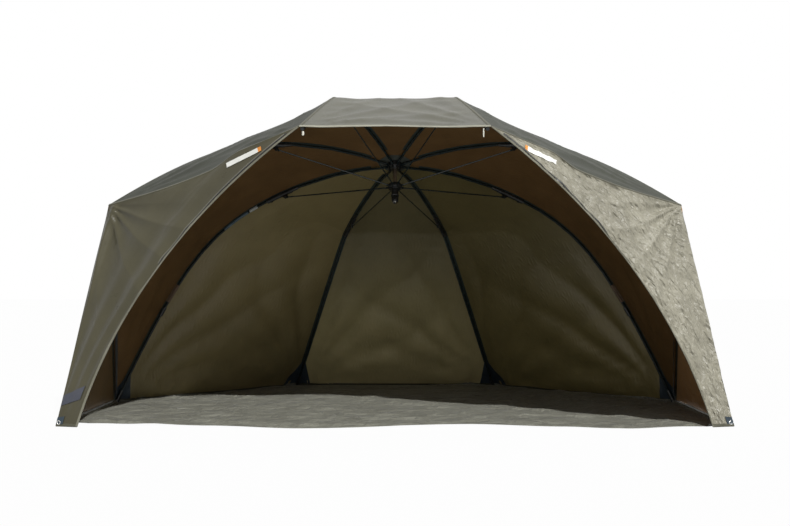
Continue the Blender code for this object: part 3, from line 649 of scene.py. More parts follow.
def gore_rows(first, second):
    """A gore between two seams, a little slack across its middle, with its wrinkles. The hem
    of a peak gore's neighbour hangs lower between its corners."""
    kinds = {first[0], second[0]}
    deep = rear_fans if "rear" in kinds else roof_fans
    seams = []
    for kind, side_name in (first, second):
        turned = rib_frame(kind, rib_sides[side_name])
        seams.append([turned @ cloth_point(kind, station) for station in panel_stations])
    crown = stand.translation
    rows = []
    for station, start, end in zip(panel_stations, *seams):
        along = station / last_station
        row = []
        for column in range(panel_columns + 1):
            across = column / panel_columns
            point = start.lerp(end, across)
            slack = canopy_sag * sin(pi * across) * sin(pi * along) ** 2
            point = point - (point - crown).normalized() * slack
            if kinds == {"peak", "shoulder"}:
                late = max(0.0, 1 - (last_station - station) / sag_stations)
                point = point + hem_fall * (hem_drop(across) * late * late)
            row.append(point)
        rows.append(row)
    places = pattern_places(rows)

    def wrinkles(r, c, point):
        """How far a point of the cloth stands out."""
        x, y = places[r][c]
        across = c / panel_columns
        width = (rows[r][-1] - rows[r][0]).length
        from_seam = min(across, 1 - across) * width
        calm = min(1.0, width / narrow_gore)
        calm *= min(1.0, max(0.0, from_seam - seam_calm) / calm_ramp)
        if "shoulder" in kinds:
            calm *= min(1.0, (places[-1][c][1] - y) / foot_calm)
        pucker = (seam_pucker * exp(-from_seam / seam_reach)
                  * sin(2 * pi * y / seam_wave + 4 * noise.noise(point * 5)))
        fans = 0.0
        for corner_x, corner_y in (places[-1][0], places[-1][panel_columns]):
            away = ((x - corner_x) ** 2 + (y - corner_y) ** 2) ** 0.5
            turn = atan2(y - corner_y, x - corner_x)
            fans += (fan_depth * (away / fan_reach) * exp(1 - away / fan_reach)
                     * creased(fan_folds * turn + 2.5 * noise.noise(point * 3)))
        sway = drift_depth * noise.noise(Vector((x / drift_size, y / (2 * drift_size),
                                                 point.x * 2)))
        return calm * (pucker + deep * fans + sway)

    return [[Vector((point.x, point.y, max(point.z, hem_height))) for point in row]
            for row in displaced(rows, wrinkles)]


gores = [("peak_panel", ("peak", "left"), ("peak", "right"), brown_lining),
         ("rear_panel", ("rear", "right"), ("rear", "left"), painted_glow_rear_lining)]
for side_name in rib_sides:
    for first, second, lining in (("peak", "shoulder", brown_lining),
                                  ("shoulder", "side", brown_lining),
                                  ("side", "rear", painted_glow_wall_linings[side_name])):
        gores.append((f"{first}_{second}_panel_{side_name}", (first, side_name),
                      (second, side_name), lining))
gore_sheets = {}
for node, first, second, lining in gores:
    gore_sheets[first, second] = gore_rows(first, second)
    # All gores but the peak take the darker copy, painted shade.
    outside = olive_nylon if node == "peak_panel" else roof_nylon_painted_shade
    sew(node, gore_sheets[first, second], [first, second], [outside, lining], stands_for=[node])


# Seam strips and hem bindings: the gores' seams are covered outside by a stitched strip, and
# every hem is closed in a folded tape. A wider dark tape lies inside between cloth and rod.
def tape_finish(name, dark, light):
    """A woven tape with fine ribs across it."""
    return cloth_finish(name, dark, light, 0.6, 0.0004, crinkles=60.0, threads=1500.0,
                        weave_depth=0.0002, sheen=0.15, specular=0.3)


hem_tape = tape_finish("pale hem tape", (0.24, 0.235, 0.185), (0.33, 0.325, 0.26))
entrance_tape = tape_finish("olive entrance tape", (0.120, 0.116, 0.086), (0.180, 0.174, 0.132))
seam_tape = tape_finish("olive seam tape", (0.068, 0.066, 0.045), (0.090, 0.087, 0.060))
rod_tape = tape_finish("green black rod tape", (0.026, 0.040, 0.036), (0.042, 0.060, 0.055))
strip_half, strip_lift, tape_wall = 0.007, 0.0012, 0.0008
rod_tape_half, rod_tape_gap, rod_tape_begin = 0.0145, 0.0003, 4
hem_width, hem_wall, hem_gap, lip_gap = 0.011, 0.0009, 0.0005, 0.0008


def toward(row, column, step, distance):
    """A point of a row, a distance in from its end column."""
    left = distance
    point = row[column]
    while 0 <= column + step < len(row):
        run = row[column + step] - point
        if run.length >= left:
            return point + run.normalized() * left
        left -= run.length
        column += step
        point = row[column]
    return point


def across_seam(sides, r, half):
    """Five points across a seam, at a row of the two sheets that meet there."""
    (rows_a, end_a, step_a), (rows_b, end_b, step_b) = sides
    return ([toward(rows_a[r], end_a, step_a, reach) for reach in (half, half / 2)]
            + [rows_a[r][end_a]]
            + [toward(rows_b[r], end_b, step_b, reach) for reach in (half / 2, half)])


def seam_strip(kind, side_name):
    """The outer strip over a rib's seam, and the wider dark tape inside between cloth and rod."""
    me = (kind, side_name)
    sides = []
    for (first, second), rows in gore_sheets.items():
        if me == first:
            sides.append((rows, 0, 1))
        if me == second:
            sides.append((rows, len(rows[0]) - 1, -1))
    rows, end, _ = sides[0]
    seam = [row[end] for row in rows]
    strip, tape = [], []
    for r in range(1, len(rows)):
        points = across_seam(sides, r, strip_half)
        up = outward((points[0] - points[-1]).cross(run_at(seam, r)).normalized(), seam[r])
        strip.append([point + up * strip_lift for point in points])
        if r >= rod_tape_begin:
            tape.append([point - up * (cloth_wall + rod_tape_gap)
                         for point in across_seam(sides, r, rod_tape_half)])
    sew(f"seam_strip_{kind}_{side_name}", strip, [me], [seam_tape], wall=tape_wall)
    sew(f"rod_tape_{kind}_{side_name}", tape, [me], [rod_tape], wall=tape_wall)


for kind in rib_kinds:
    for side_name in rib_sides:
        seam_strip(kind, side_name)


def bind(name, edge, inner, ribs_beside, finish, width=hem_width):
    """A tape folded over an edge of a sheet, which lies in from it towards inner."""
    rows = []
    for i, (point, within) in enumerate(zip(edge, inner)):
        along = run_at(edge, i).normalized()
        into = within - point
        into = (into - along * into.dot(along)).normalized()
        up = outward(along.cross(into), point)
        over = point + up * (hem_wall + hem_gap)
        under = point - up * (hem_wall + hem_gap + cloth_wall)
        reaches = (into * width, into * width / 2, into * 0)
        rows.append([over + reach for reach in reaches]
                    + [(over + under) / 2 - into * (hem_wall + lip_gap)]
                    + [under + reach for reach in reversed(reaches)])
        if i == 0:
            outer = up
    sew(name, rows, ribs_beside, [finish], wall=hem_wall, outer=outer)


for node, first, second, _ in gores:
    rows = gore_sheets[first, second]
    finish = hem_tape if node == "peak_panel" else seam_tape
    bind(f"{node}_hem", rows[-1], rows[-2], [first, second], finish)

# Storm sides: a flap from the shoulder hem to the ground with a curved, bound entrance edge,
# creased back at the front corner into a wall that runs to the side foot. The left one is
# pulled smooth, the right one is crumpled. The right one's nylon and lining are a lit copy
# and the left one's a shaded copy of the same cloth: painted light and painted shade.
front_corner_half, front_corner_reach = 1.330, 0.761
entrance_foot_half, entrance_foot_reach = 1.240, 0.785
entrance_pull = (1.020, 0.822, 0.680)
flap_columns, wall_columns, storm_rows = 104, 30, 190
storm_gap = 0.0022
binding_width = 0.0070
roof_share = 0.4
corner_fade, corner_calm = 0.42, 0.05
smooth_fans, smooth_folds, smooth_drift = 0.0060, 0.0045, 0.004
crumpled_fans, crumpled_folds, crumpled_drift = 0.0105, 0.004, 0.005
crumples = ((8, 0.0060), (19, 0.0042), (43, 0.0030), (85, 0.0016))
bulge_depth, bulge_place, bulge_reach = 0.016, 0.18, 0.22


def storm_rows_of(side_name, side):
    """Flap from the entrance edge to the crease, then the wall back to the strap line."""
    peak_corner, shoulder_corner, side_corner = [hem_corner(kind, side) for kind in rib_kinds[:3]]
    front = Vector((side * front_corner_half, crown_y - front_corner_reach, hem_height))
    foot = Vector((side * entrance_foot_half, crown_y - entrance_foot_reach, hem_height))
    pull = Vector((side * entrance_pull[0], crown_y - entrance_pull[1], entrance_pull[2]))
    forward = (front - side_corner).normalized() * storm_gap
    top_share = storm_gap / (front - shoulder_corner).length
    hem = gore_sheets[("peak", side_name), ("shoulder", side_name)][-1]
    rows = []
    for r in range(storm_rows + 1):
        w = top_share + (1 - top_share) * r / storm_rows
        entrance = (1 - w) ** 2 * peak_corner + 2 * w * (1 - w) * pull + w * w * foot
        crease = shoulder_corner.lerp(front, w)
        strap = shoulder_corner.lerp(side_corner, w) + forward
        row = []
        for c in range(flap_columns):
            across = c / flap_columns
            place = across * panel_columns
            index = min(int(place), panel_columns - 1)
            sag = (hem[index].lerp(hem[index + 1], place - index)
                   - peak_corner.lerp(shoulder_corner, across))
            row.append(entrance.lerp(crease, across) + sag * max(0.0, 1 - w / roof_share) ** 2)
        row += [crease.lerp(strap, c / wall_columns) for c in range(wall_columns + 1)]
        rows.append(row)
    last = flap_columns + wall_columns

    def wrinkles(r, c, point):
        """How far a point of the cloth stands out."""
        w = r / storm_rows
        edge_calm = min(1.0, c / 5, (last - c) / 4, r / 3, (storm_rows - r) / 4)
        crease_calm = min(1.0, 0.25 + abs(c - flap_columns) / 9)
        from_corner = point - shoulder_corner
        away = from_corner.length
        swing = atan2(-side * from_corner.x, max(1e-4, -from_corner.z))
        fans = (exp(-away / corner_fade) * min(1.0, away / corner_calm)
                * creased(15 * swing + 3 * noise.noise(point * 2.5)))
        phase = 2.6 * min(c, flap_columns) / flap_columns + 0.5 * sin(3.1 * w)
        long_folds = sin(2 * pi * (phase + 0.4 * noise.noise(point * 2))) * sin(pi * w)
        sway = noise.noise(Vector((point.x * 3, point.y * 3, point.z * 1.4)))
        if side < 0:
            bulge = (exp(-((c - flap_columns + 4) / 2.0) ** 2)
                     * exp(-((w - bulge_place) / bulge_reach) ** 2))
            moved = smooth_fans * fans + smooth_folds * long_folds + smooth_drift * sway
            return edge_calm * (crease_calm * moved + bulge_depth * bulge)
        skew = Vector((point.x + 0.35 * point.z, point.y, 0.45 * point.z))
        moved = crumpled_fans * fans + crumpled_folds * long_folds + crumpled_drift * sway
        for per_metre, depth in crumples:
            fold = noise.noise(skew * per_metre + Vector((per_metre, 0, 0)))
            moved += depth * (0.5 - min(1.0, abs(fold) * 3.2) ** 0.7)
        return edge_calm * crease_calm * moved

    return displaced(rows, wrinkles)


# One storm nylon in two copies: the left darkened as painted shade, the right made pale as painted
# sunlight.
storm_nylons_painted_lit_and_shaded = {
    "left": cloth_finish("pulled storm nylon painted shade", (0.049, 0.044, 0.023), (0.062, 0.056, 0.031),
                         0.29, 0.0030, crinkles=7.0, stretch=2.2, sheen=0.04, specular=0.35),
    "right": cloth_finish("crumpled storm nylon painted light", (0.205, 0.193, 0.147), (0.280, 0.265, 0.205),
                          0.42, 0.0135, crinkles=11.0, stretch=1.6, sheen=0.1, folds="Crumple")}
# One lining in two copies: the left darkened as painted shade, the right made bright as painted
# light.
storm_linings_painted_lit_and_shaded = {
    "left": cloth_finish("left storm lining painted shade", (0.145, 0.094, 0.043), (0.185, 0.120, 0.055),
                         0.55, 0.0022, specular=0.15),
    "right": cloth_finish("right storm lining painted light", (0.400, 0.225, 0.100), (0.480, 0.272, 0.122),
                          0.55, 0.0022, specular=0.15)}
storm_sheets = {}
for side_name, side in rib_sides.items():
    ribs_near = [(kind, side_name) for kind in rib_kinds[:3]]
    rows = storm_rows_of(side_name, side)
    storm_sheets[side_name] = rows
    sew(f"storm_side_{side_name}", rows, ribs_near,
        [storm_nylons_painted_lit_and_shaded[side_name], storm_linings_painted_lit_and_shaded[side_name]],
        stands_for=[f"storm_side_{side_name}"])
    bind(f"entrance_binding_{side_name}", [row[0] for row in rows], [row[2] for row in rows],
         ribs_near[:2], entrance_tape, binding_width)
    bind(f"storm_foot_hem_{side_name}", rows[-1], rows[-3], ribs_near[1:], seam_tape)

# Sleeves on the rods: a black tube that holds each bracket, a pale and a blue band beyond the
# left side bracket that paint the sky's reflection on the glossy rod, and two small ties that
# hang from the peak corners.
# Painted reflection: the pale silver and blue grey bands on the left side rod stand for the sky's
# glint.
painted_sky_glint_silver = hard_finish("silver painted sky glint", (0.42, 0.45, 0.44), (0.56, 0.59, 0.58), 0.35, 500.0,
                          0.0001, marks=0.04)
painted_sky_glint_blue = hard_finish("blue grey painted sky glint", (0.070, 0.115, 0.150), (0.110, 0.170, 0.215), 0.35,
                        500.0, 0.0001, marks=0.04)
tie_pale = hard_finish("pale tie", (0.50, 0.49, 0.42), (0.66, 0.65, 0.57), 0.6, 900.0, 0.0003)
sleeve_begin, sleeve_end, sleeve_radius, sleeve_drop = 0.512, 0.652, 0.0108, 0.0028
silver_begin, silver_end, silver_radius = 0.706, 0.752, 0.0074
blue_begin, blue_end, blue_radius = 0.760, 0.905, 0.0070
ties = {"left": (0.014, 0.018, 0.034, 0.0045), "right": (0.027, 0.006, 0.040, 0.0026)}
tie_forward = 0.004
rod_steps, rod_nudge = 60, 0.002
tube_sides, tube_step, tube_end, end_share = 14, 0.010, 0.0015, 0.82
sharp_edge = radians(50)


def along_rod(kind, distance):
    """The rod's centre line, a length out from its pin."""
    if distance <= inner_length:
        return bowed(distance)[0]
    passed, before = inner_length, bowed(inner_length)[0]
    for i in range(1, rod_steps + 1):
        place = rod_point(kind, i / rod_steps)[0]
        step = (place - before).length
        if passed + step >= distance:
            return before.lerp(place, (distance - passed) / step)
        passed, before = passed + step, place
    return before


def tube(name, centres, radius, finish, ride):
    """A closed round tube through a line of points, a little smaller at its two ends."""
    shape = bmesh.new()
    rings = []
    for i, centre in enumerate(centres):
        run = run_at(centres, i).normalized()
        across = across - run * across.dot(run) if rings else run.orthogonal().normalized()
        across.normalize()
        beside = run.cross(across)
        here = radius * (end_share if i in (0, len(centres) - 1) else 1.0)
        turns = [2 * pi * k / tube_sides for k in range(tube_sides)]
        rings.append([shape.verts.new(centre + (across * cos(turn) + beside * sin(turn)) * here)
                      for turn in turns])
    for near, far in zip(rings, rings[1:]):
        for k in range(tube_sides):
            shape.faces.new((near[k], near[k - 1], far[k - 1], far[k]))
    shape.faces.new(rings[0])
    shape.faces.new(rings[-1])
    bmesh.ops.recalc_face_normals(shape, faces=shape.faces)
    made = put_in_scene(name, shape, [finish])
    made.data.shade_smooth()
    made.data.set_sharp_from_angle(angle=sharp_edge)
    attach(made, ride)


def sleeve(name, kind, side_name, begin, end, radius, finish, drop=0.0):
    """A tube round a rod between two lengths out from its pin, set a little inward of it."""
    count = max(3, int((end - begin) / tube_step))
    first, last = begin + tube_end, end - tube_end
    centres = []
    for place in [begin] + [first + (last - first) * i / count for i in range(count + 1)] + [end]:
        run = along_rod(kind, place + rod_nudge) - along_rod(kind, place - rod_nudge)
        middle = along_rod(kind, place) - above(run).normalized() * drop
        centres.append(rib_frame(kind, rib_sides[side_name]) @ middle)
    tube(f"{name}_{kind}_{side_name}", centres, radius, finish, f"{kind}_{side_name}_rib")


for kind in rib_kinds:
    for side_name in rib_sides:
        sleeve("bracket_sleeve", kind, side_name, sleeve_begin, sleeve_end, sleeve_radius,
               black_moulding, sleeve_drop)
sleeve("silver_painted_glint", "side", "left", silver_begin, silver_end, silver_radius, painted_sky_glint_silver)
sleeve("blue_painted_glint", "side", "left", blue_begin, blue_end, blue_radius, painted_sky_glint_blue)
for side_name, side in rib_sides.items():
    inward, top, bottom, radius = ties[side_name]
    corner = hem_corner("peak", side) + Vector((-side * inward, tie_forward, 0))
    tube(f"peak_tie_{side_name}",
         [corner - Vector((0, 0, top + (bottom - top) * i / 4)) for i in range(5)],
         radius, tie_pale, f"peak_{side_name}_rib")

# Fittings on the cloth: half a zip and its piping along the upper entrance edges, pale bands
# with orange ends sewn below the roof hem, corner patches inside the feet, a faded patch by
# the left foot, and peg loops with pressed eyelets.
zip_black = hard_finish("black zip", (0.010, 0.010, 0.010), (0.022, 0.022, 0.020), 0.45, 700.0,
                        0.0004)
pale_band = cloth_finish("pale band", (0.62, 0.62, 0.58), (0.78, 0.78, 0.74), 0.45, 0.0005,
                         crinkles=70.0, threads=260.0, weave_depth=0.0008, sheen=0.1)
orange_end = cloth_finish("orange band end", (0.55, 0.20, 0.03), (0.66, 0.26, 0.05), 0.5, 0.0004,
                          crinkles=70.0)
faded_blue = cloth_finish("faded blue patch", (0.030, 0.034, 0.050), (0.052, 0.055, 0.070), 0.5,
                          0.0006, crinkles=40.0)
patch_black = cloth_finish("blue black patch", (0.024, 0.036, 0.048), (0.040, 0.058, 0.074), 0.5,
                           0.0008, crinkles=50.0, specular=0.3)
eyelet_metal = hard_finish("nickel eyelet", (0.50, 0.49, 0.46), (0.66, 0.65, 0.62), 0.26, 900.0,
                           0.0001, metallic=1.0)
zip_begin, zip_end, zip_top, edge_bulge = 3, 0.505, 0.004, 0.0008
band_lift, band_width, band_wall = 0.0028, 0.021, 0.0010
band_steps, tip_steps = 40, 4
band_places = {"left": ((0.279, 0.063), (0.130, 0.048), (0.116, 0.046)),
               "right": ((0.250, 0.058), (0.104, 0.050), (0.090, 0.049))}
peg_loop_place, peg_loop_wall = ((0.70, 1.0), (0.962, 0.992)), 0.0012
foot_patch_place, patch_wall = ((0.25, 0.97), (0.868, 0.912)), 0.0008
patch_steps, patch_gap, patch_foot = 8, 0.0006, 0.004
eyelet_place, eyelet_lift = (0.90, 0.985), 0.002
eyelet_radius, eyelet_wire, wire_flat = 0.007, 0.0020, 0.7
wire_sides, eyelet_steps = 10, 32


def flap_of(side_name):
    """A storm side's rows up to the crease at its front corner."""
    return [row[:flap_columns + 1] for row in storm_sheets[side_name]]


def sheet_place(rows, u, v):
    """A point of a sheet, u of the way along its rows and v of the way down them."""
    x, y = u * (len(rows[0]) - 1), v * (len(rows) - 1)
    c, r = min(int(x), len(rows[0]) - 2), min(int(y), len(rows) - 2)
    top = rows[r][c].lerp(rows[r][c + 1], x - c)
    low = rows[r + 1][c].lerp(rows[r + 1][c + 1], x - c)
    return top.lerp(low, y - r)


def sheet_normal(rows, u, v, step=0.012):
    """The way out of a sheet at its (u, v)."""
    across = sheet_place(rows, min(1, u + step), v) - sheet_place(rows, max(0, u - step), v)
    along = sheet_place(rows, u, min(1, v + step)) - sheet_place(rows, u, max(0, v - step))
    return outward(across.cross(along).normalized(), sheet_place(rows, u, v))


def lifted(rows, spot, lift):
    """A point off a sheet, above its (u, v)."""
    return sheet_place(rows, *spot) + sheet_normal(rows, *spot) * lift


def patch_rows(rows, place, across, along):
    """A patch between two u and two v of a sheet, lifted off it."""
    (u0, u1), (v0, v1) = place
    return [[lifted(rows, (u0 + (u1 - u0) * i / across, v0 + (v1 - v0) * j / along), band_lift)
             for i in range(across + 1)] for j in range(along + 1)]


def slopes(rows, u, v, step=0.01):
    """How a place of a sheet moves per u and per v, away from the sheet's own borders."""
    u, v = max(step, u), max(step, v)
    return ((sheet_place(rows, u + step, v) - sheet_place(rows, u - step, v)) / (2 * step),
            (sheet_place(rows, u, v + step) - sheet_place(rows, u, v - step)) / (2 * step))


def shifted(rows, u, v, reach):
    """The (u, v) that lies a real distance along a sheet from another."""
    by_u, by_v = slopes(rows, u, v)
    uu, uv, vv = by_u.dot(by_u), by_u.dot(by_v), by_v.dot(by_v)
    a, b = by_u.dot(reach), by_v.dot(reach)
    scale = uu * vv - uv * uv
    return u + (a * vv - b * uv) / scale, v + (b * uu - a * uv) / scale


def strip_rows(rows, begin, end, count):
    """A band along a line between two (u, v) places of a sheet, close on it."""
    made = [[] for _ in range(5)]
    for i in range(count + 1):
        u, v = [begin[k] + (end[k] - begin[k]) * i / count for k in (0, 1)]
        by_u, by_v = slopes(rows, u, v)
        along = (by_u * (end[0] - begin[0]) + by_v * (end[1] - begin[1])).normalized()
        side = by_u.cross(by_v).normalized().cross(along)
        for k in range(5):
            spot = shifted(rows, u, v, side * (band_width * (k / 4 - 0.5)))
            made[k].append(lifted(rows, spot, band_lift))
    return made


def edge_strip(rows, inset, width, lift):
    """A strip along the upper entrance edge, a real distance in from it."""
    made = []
    for r in range(zip_begin, int(zip_end * storm_rows)):
        v = r / storm_rows
        by_u, by_v = slopes(rows, 0, v)
        into = (by_u - by_v.normalized() * by_u.dot(by_v.normalized())).normalized()
        spots = [shifted(rows, 0, v, into * (inset + width * k / 3)) for k in range(4)]
        if min(spot[1] for spot in spots) > zip_top:
            made.append([lifted(rows, spot, lift + edge_bulge * (k in (1, 2)))
                         for k, spot in enumerate(spots)])
    return made


def eyelet(name, rows, label):
    """A pressed ring, which rides with the cloth that it is set in."""
    shape = bmesh.new()
    turn = sheet_normal(rows, *eyelet_place).to_track_quat('Z', 'Y').to_matrix().to_4x4()
    ring = []
    for a in range(wire_sides):
        angle = 2 * pi * a / wire_sides
        ring.append(shape.verts.new((eyelet_radius + eyelet_wire * cos(angle), 0,
                                     wire_flat * eyelet_wire * sin(angle))))
    edges = [shape.edges.new((ring[a - 1], ring[a])) for a in range(wire_sides)]
    bmesh.ops.spin(shape, geom=ring + edges, cent=(0, 0, 0), axis=(0, 0, 1), angle=2 * pi,
                   steps=eyelet_steps, use_merge=True)
    bmesh.ops.remove_doubles(shape, verts=shape.verts, dist=1e-6)
    bmesh.ops.recalc_face_normals(shape, faces=shape.faces)
    moved = Matrix.Translation(lifted(rows, eyelet_place, eyelet_lift)) @ turn
    bmesh.ops.transform(shape, matrix=moved, verts=shape.verts)
    ring_piece = put_in_scene(name, shape, [eyelet_metal])
    ring_piece.data.shade_smooth()
    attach(ring_piece, f"{label}_rib")


for side_name in rib_sides:
    flap = flap_of(side_name)
    shoulder = [("shoulder", side_name)]
    upper = [("peak", side_name)] + shoulder
    for name, inset, width, lift, finish, slot, wall in (
            ("entrance_zip", 0.0080, 0.0058, 0.0030, zip_black, "webbing", 0.0009),
            ("entrance_piping", 0.0142, 0.0036, 0.0028, entrance_tape, "canopy_cloth", 0.0007)):
        sew(f"{name}_{side_name}", edge_strip(flap, inset, width, lift), upper, [finish],
            wall=wall)
    near, far, tip = band_places[side_name]
    sew(f"roof_band_{side_name}", strip_rows(flap, near, far, band_steps), upper, [pale_band],
        wall=band_wall)
    sew(f"roof_band_end_{side_name}", strip_rows(flap, far, tip, tip_steps), upper, [orange_end],
        wall=band_wall)
    sew(f"peg_loop_{side_name}", patch_rows(flap, peg_loop_place, 8, 5), shoulder, [patch_black],
        wall=peg_loop_wall)
    eyelet(f"corner_eyelet_{side_name}", flap, f"shoulder_{side_name}")
sew("foot_patch_left", patch_rows(flap_of("left"), foot_patch_place, 16, 8),
    [("shoulder", "left")], [faded_blue], wall=patch_wall)


def corner_patch(name, rows, at_start, rib, reach_up, reach_across):
    """A triangle sewn inside the corner of a gore, its point at the foot."""
    made = []
    for j in range(patch_steps + 1):
        row = []
        for i in range(patch_steps + 1):
            up = reach_up * (1 - j / patch_steps)
            across = reach_across * (i / patch_steps) * (j / patch_steps * 0.9 + 0.1)
            spot = (across if at_start else 1 - across, 1 - up - patch_foot)
            row.append(lifted(rows, spot, -(cloth_wall + patch_gap)))
        made.append(row)
    sew(name, made, [rib], [patch_black], wall=patch_wall)


for side_name in rib_sides:
    side_rib, rear_rib = ("side", side_name), ("rear", side_name)
    side_gore = gore_sheets[side_rib, rear_rib]
    rear_gore = gore_sheets[("rear", "right"), ("rear", "left")]
    front_gore = gore_sheets[("shoulder", side_name), side_rib]
    for name, gore, at_start, rib, up, across in (
            ("side_patch", side_gore, True, side_rib, 0.055, 0.07),
            ("side_rear_patch", side_gore, False, rear_rib, 0.052, 0.090),
            ("rear_patch", rear_gore, side_name == "right", rear_rib, 0.056, 0.068),
            ("front_patch", front_gore, False, side_rib, 0.040, 0.05)):
        corner_patch(f"{name}_{side_name}", gore, at_start, rib, up, across)

# Straps and tabs: webbing inside each side wall from the shoulder corner to the side foot,
# and a cloth tab that ties the wall round each side rib.
webbing = cloth_finish("black webbing", (0.014, 0.018, 0.024), (0.026, 0.032, 0.042), 0.62,
                       0.0006, crinkles=90.0, threads=700.0, weave_depth=0.0006, sheen=0.2)
tab_cloth = cloth_finish("brown tab cloth", (0.120, 0.080, 0.048), (0.165, 0.112, 0.070), 0.6,
                         0.0010, crinkles=60.0, sheen=0.2)
strap_width, strap_inset, strap_end_gap, strap_wall = 0.024, 0.014, 0.050, 0.0014
strap_steps, strap_slack, strap_twist = 60, 0.006, 0.25
tab_share, tab_length, tab_radius, tab_wall = 0.535, 0.095, 0.0072, 0.0009
tab_steps, tab_rows_down, tab_gap, tab_wrap = 120, 16, 0.0012, 2.3
wing_near, wing_far = (0.0085, 0.0045), (0.0155, 0.0080)


def strap_rows(side):
    """A slack strap, turned a little to and fro on its way down."""
    top, bottom = hem_corner("shoulder", side), hem_corner("side", side)
    run = (bottom - top).normalized()
    across = run.cross(Vector((-side, 0, 0))).normalized()
    inward = across.cross(run)
    start = top + run * strap_end_gap + inward * strap_inset
    end = bottom - run * strap_end_gap + inward * strap_inset
    rows = []
    for i in range(strap_steps + 1):
        along = i / strap_steps
        middle = start.lerp(end, along) + inward * strap_slack * sin(pi * along)
        wide = (across + inward * (strap_twist * sin(2 * pi * along))).normalized()
        rows.append([middle + wide * strap_width * share for share in (-0.5, -0.25, 0, 0.25, 0.5)])
    return rows


def tab_rows(side):
    """A cloth loop round the side rib, its two wings sewn flat on the wall."""
    line = [rod_point("side", i / tab_steps)[0] for i in range(tab_steps + 1)]
    along = [0.0]
    for before, place in zip(line, line[1:]):
        along.append(along[-1] + (place - before).length)
    flat = Vector((0, 1, 0))
    rows = []
    for i in range(tab_rows_down + 1):
        target = along[-1] * tab_share + tab_length * (i / tab_rows_down - 0.5)
        index = next(k for k in range(tab_steps) if along[k + 1] >= target)
        t = (index + (target - along[index]) / (along[index + 1] - along[index])) / tab_steps
        place, run = rod_point("side", t)
        up = above(run)
        wing = cloth_lift(t) - cloth_wall - tab_gap
        near, far = [up * (wing - down) for _, down in (wing_near, wing_far)]
        row = [place + far - flat * wing_far[0], place + near - flat * wing_near[0]]
        for k in range(13):
            turn = tab_wrap * (k / 6 - 1)
            row.append(place - up * tab_radius * cos(turn) + flat * tab_radius * sin(turn))
        row += [place + near + flat * wing_near[0], place + far + flat * wing_far[0]]
        rows.append([rib_frame("side", side) @ point for point in row])
    return rows


for side_name, side in rib_sides.items():
    sew(f"wall_strap_{side_name}", strap_rows(side),
        [("shoulder", side_name), ("side", side_name)], [webbing],
        stands_for=[f"wall_strap_{side_name}"], wall=strap_wall)
    rows = tab_rows(side)
    sew(f"wall_tab_{side_name}", rows, [("side", side_name)], [tab_cloth],
        stands_for=[f"wall_tab_{side_name}"], wall=tab_wall,
        outer=rows[8][8] - rows[8][0])

# Groundsheet: a heavy coated sheet laid inside the walls, rumpled where it has been walked on,
# its front edge turned under in slow waves.
sheet_cloth = cloth_finish("coated groundsheet", (0.155, 0.154, 0.126), (0.208, 0.207, 0.171),
                           0.50, 0.0150, crinkles=12.0, stretch=0.75, sheen=0.1, specular=0.4,
                           folds="Crumple")
sheet_margin, sheet_front_reach = 0.014, 0.768
sheet_columns, sheet_rows, sheet_wall = 200, 130, 0.0018
sheet_inset, sheet_clear = 0.012, 0.0008
side_calm, front_calm = 0.12, 0.08
turn_steps, turn_lean, turned_reach = 3, 0.002, 0.8
front_marks = ((-1.25, -0.100), (-1.02, -0.065), (-0.73, -0.015), (-0.37, 0.065), (0.31, -0.055),
               (0.64, 0.015), (0.88, 0.080), (1.12, 0.015), (1.25, 0.0))
front_slack = 0.26
side_foot, rear_foot = hem_corner("side", 1), hem_corner("rear", 1)
sheet_front, sheet_back = crown_y - sheet_front_reach, rear_foot.y - sheet_margin
half_widths = ((sheet_front, entrance_foot_half - sheet_margin),
               (sheet_front + 0.03, front_corner_half - 2.5 * sheet_margin),
               (side_foot.y, side_foot.x - 1.6 * sheet_margin),
               (sheet_back, rear_foot.x - sheet_margin))


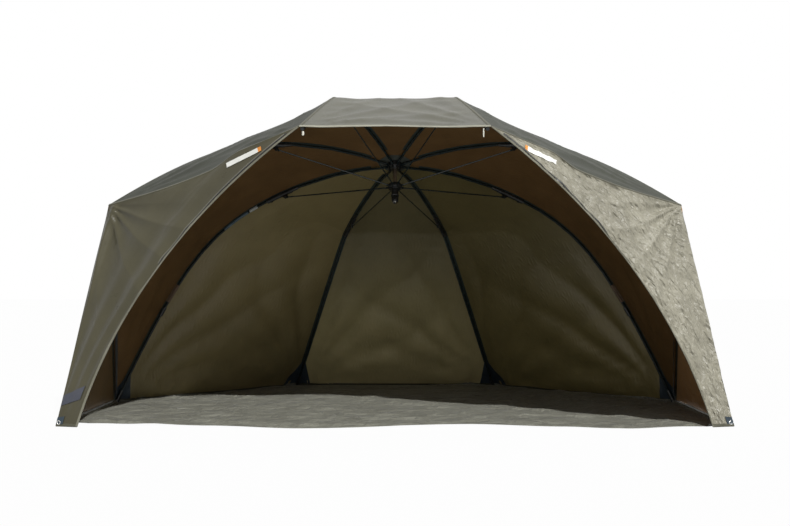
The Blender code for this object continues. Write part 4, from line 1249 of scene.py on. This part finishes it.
def turned_up(x, y):
    """How far the sheet's edge stands up along the walls: most at the rear left."""
    rear = min(1.0, max(0.0, (y - crown_y) / turned_reach))
    return 0.010 + rear * (0.022 - 0.014 * x + 0.006 * noise.noise(Vector((x * 4, y * 4, 5.5))))


def edge_step(place, y, k, out_x, out_y):
    """A step up the sheet's turned edge from a place on its border, y back from the front."""
    lean = turn_lean * k
    return place + Vector((out_x * lean, out_y * lean, turned_up(place.x, y) * k / turn_steps))


def groundsheet_rows():
    """The whole sheet, row by row from its front edge, with its turned edges."""
    rows = []
    for r in range(sheet_rows + 1):
        y = sheet_front + (sheet_back - sheet_front) * r / sheet_rows
        half = between(half_widths, y)
        row = []
        for c in range(sheet_columns + 1):
            x = half * (2 * c / sheet_columns - 1)
            to_edge = min(half - abs(x), sheet_back - y)
            rumple = 0.006 + 0.008 * noise.noise(Vector((x * 2.2, y * 3.2, 0.7)))
            ridge = max(0.0, 1 - 5 * abs(noise.noise(Vector((x * 1.9 + y, y * 4.2, 3.1)))))
            small = 0.0020 * noise.noise(Vector((x * 11, y * 15, 1.3)))
            forward = between(front_marks, x, eased=True)
            wave = -forward * exp(-(y - sheet_front) / front_slack)
            height = max(0.0, rumple + 0.009 * ridge + small)
            height *= min(1.0, 0.15 + to_edge / side_calm)
            height *= min(1.0, 0.30 + (y - sheet_front) / front_calm)
            row.append(Vector((x, y + wave + sheet_inset, sheet_wall + sheet_clear + height)))
        left, right = row[0], row[-1]
        for k in range(1, turn_steps + 1):
            row.insert(0, edge_step(left, y, k, -1, 0))
            row.append(edge_step(right, y, k, 1, 0))
        rows.append(row)
    last = rows[-1]
    for k in range(1, turn_steps + 1):
        rows.append([edge_step(point, point.y, k, 0, 1) for point in last])
    return rows


shape = sheet_shape(groundsheet_rows(), Vector((0, 0, 1)))
area = sum(face.calc_area() for face in shape.faces)
size = flat_size(shape, area)
keep_normals(shape)
bmesh.ops.triangulate(shape, faces=shape.faces[:])
thicken(shape, sheet_wall)
laid = put_in_scene("groundsheet_cloth", shape, [sheet_cloth])
drop_notes(laid.data)
laid.data.shade_smooth()
laid.data.set_sharp_from_angle(angle=sharp_edge)
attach(laid, "groundsheet")
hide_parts("groundsheet")
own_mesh(laid)
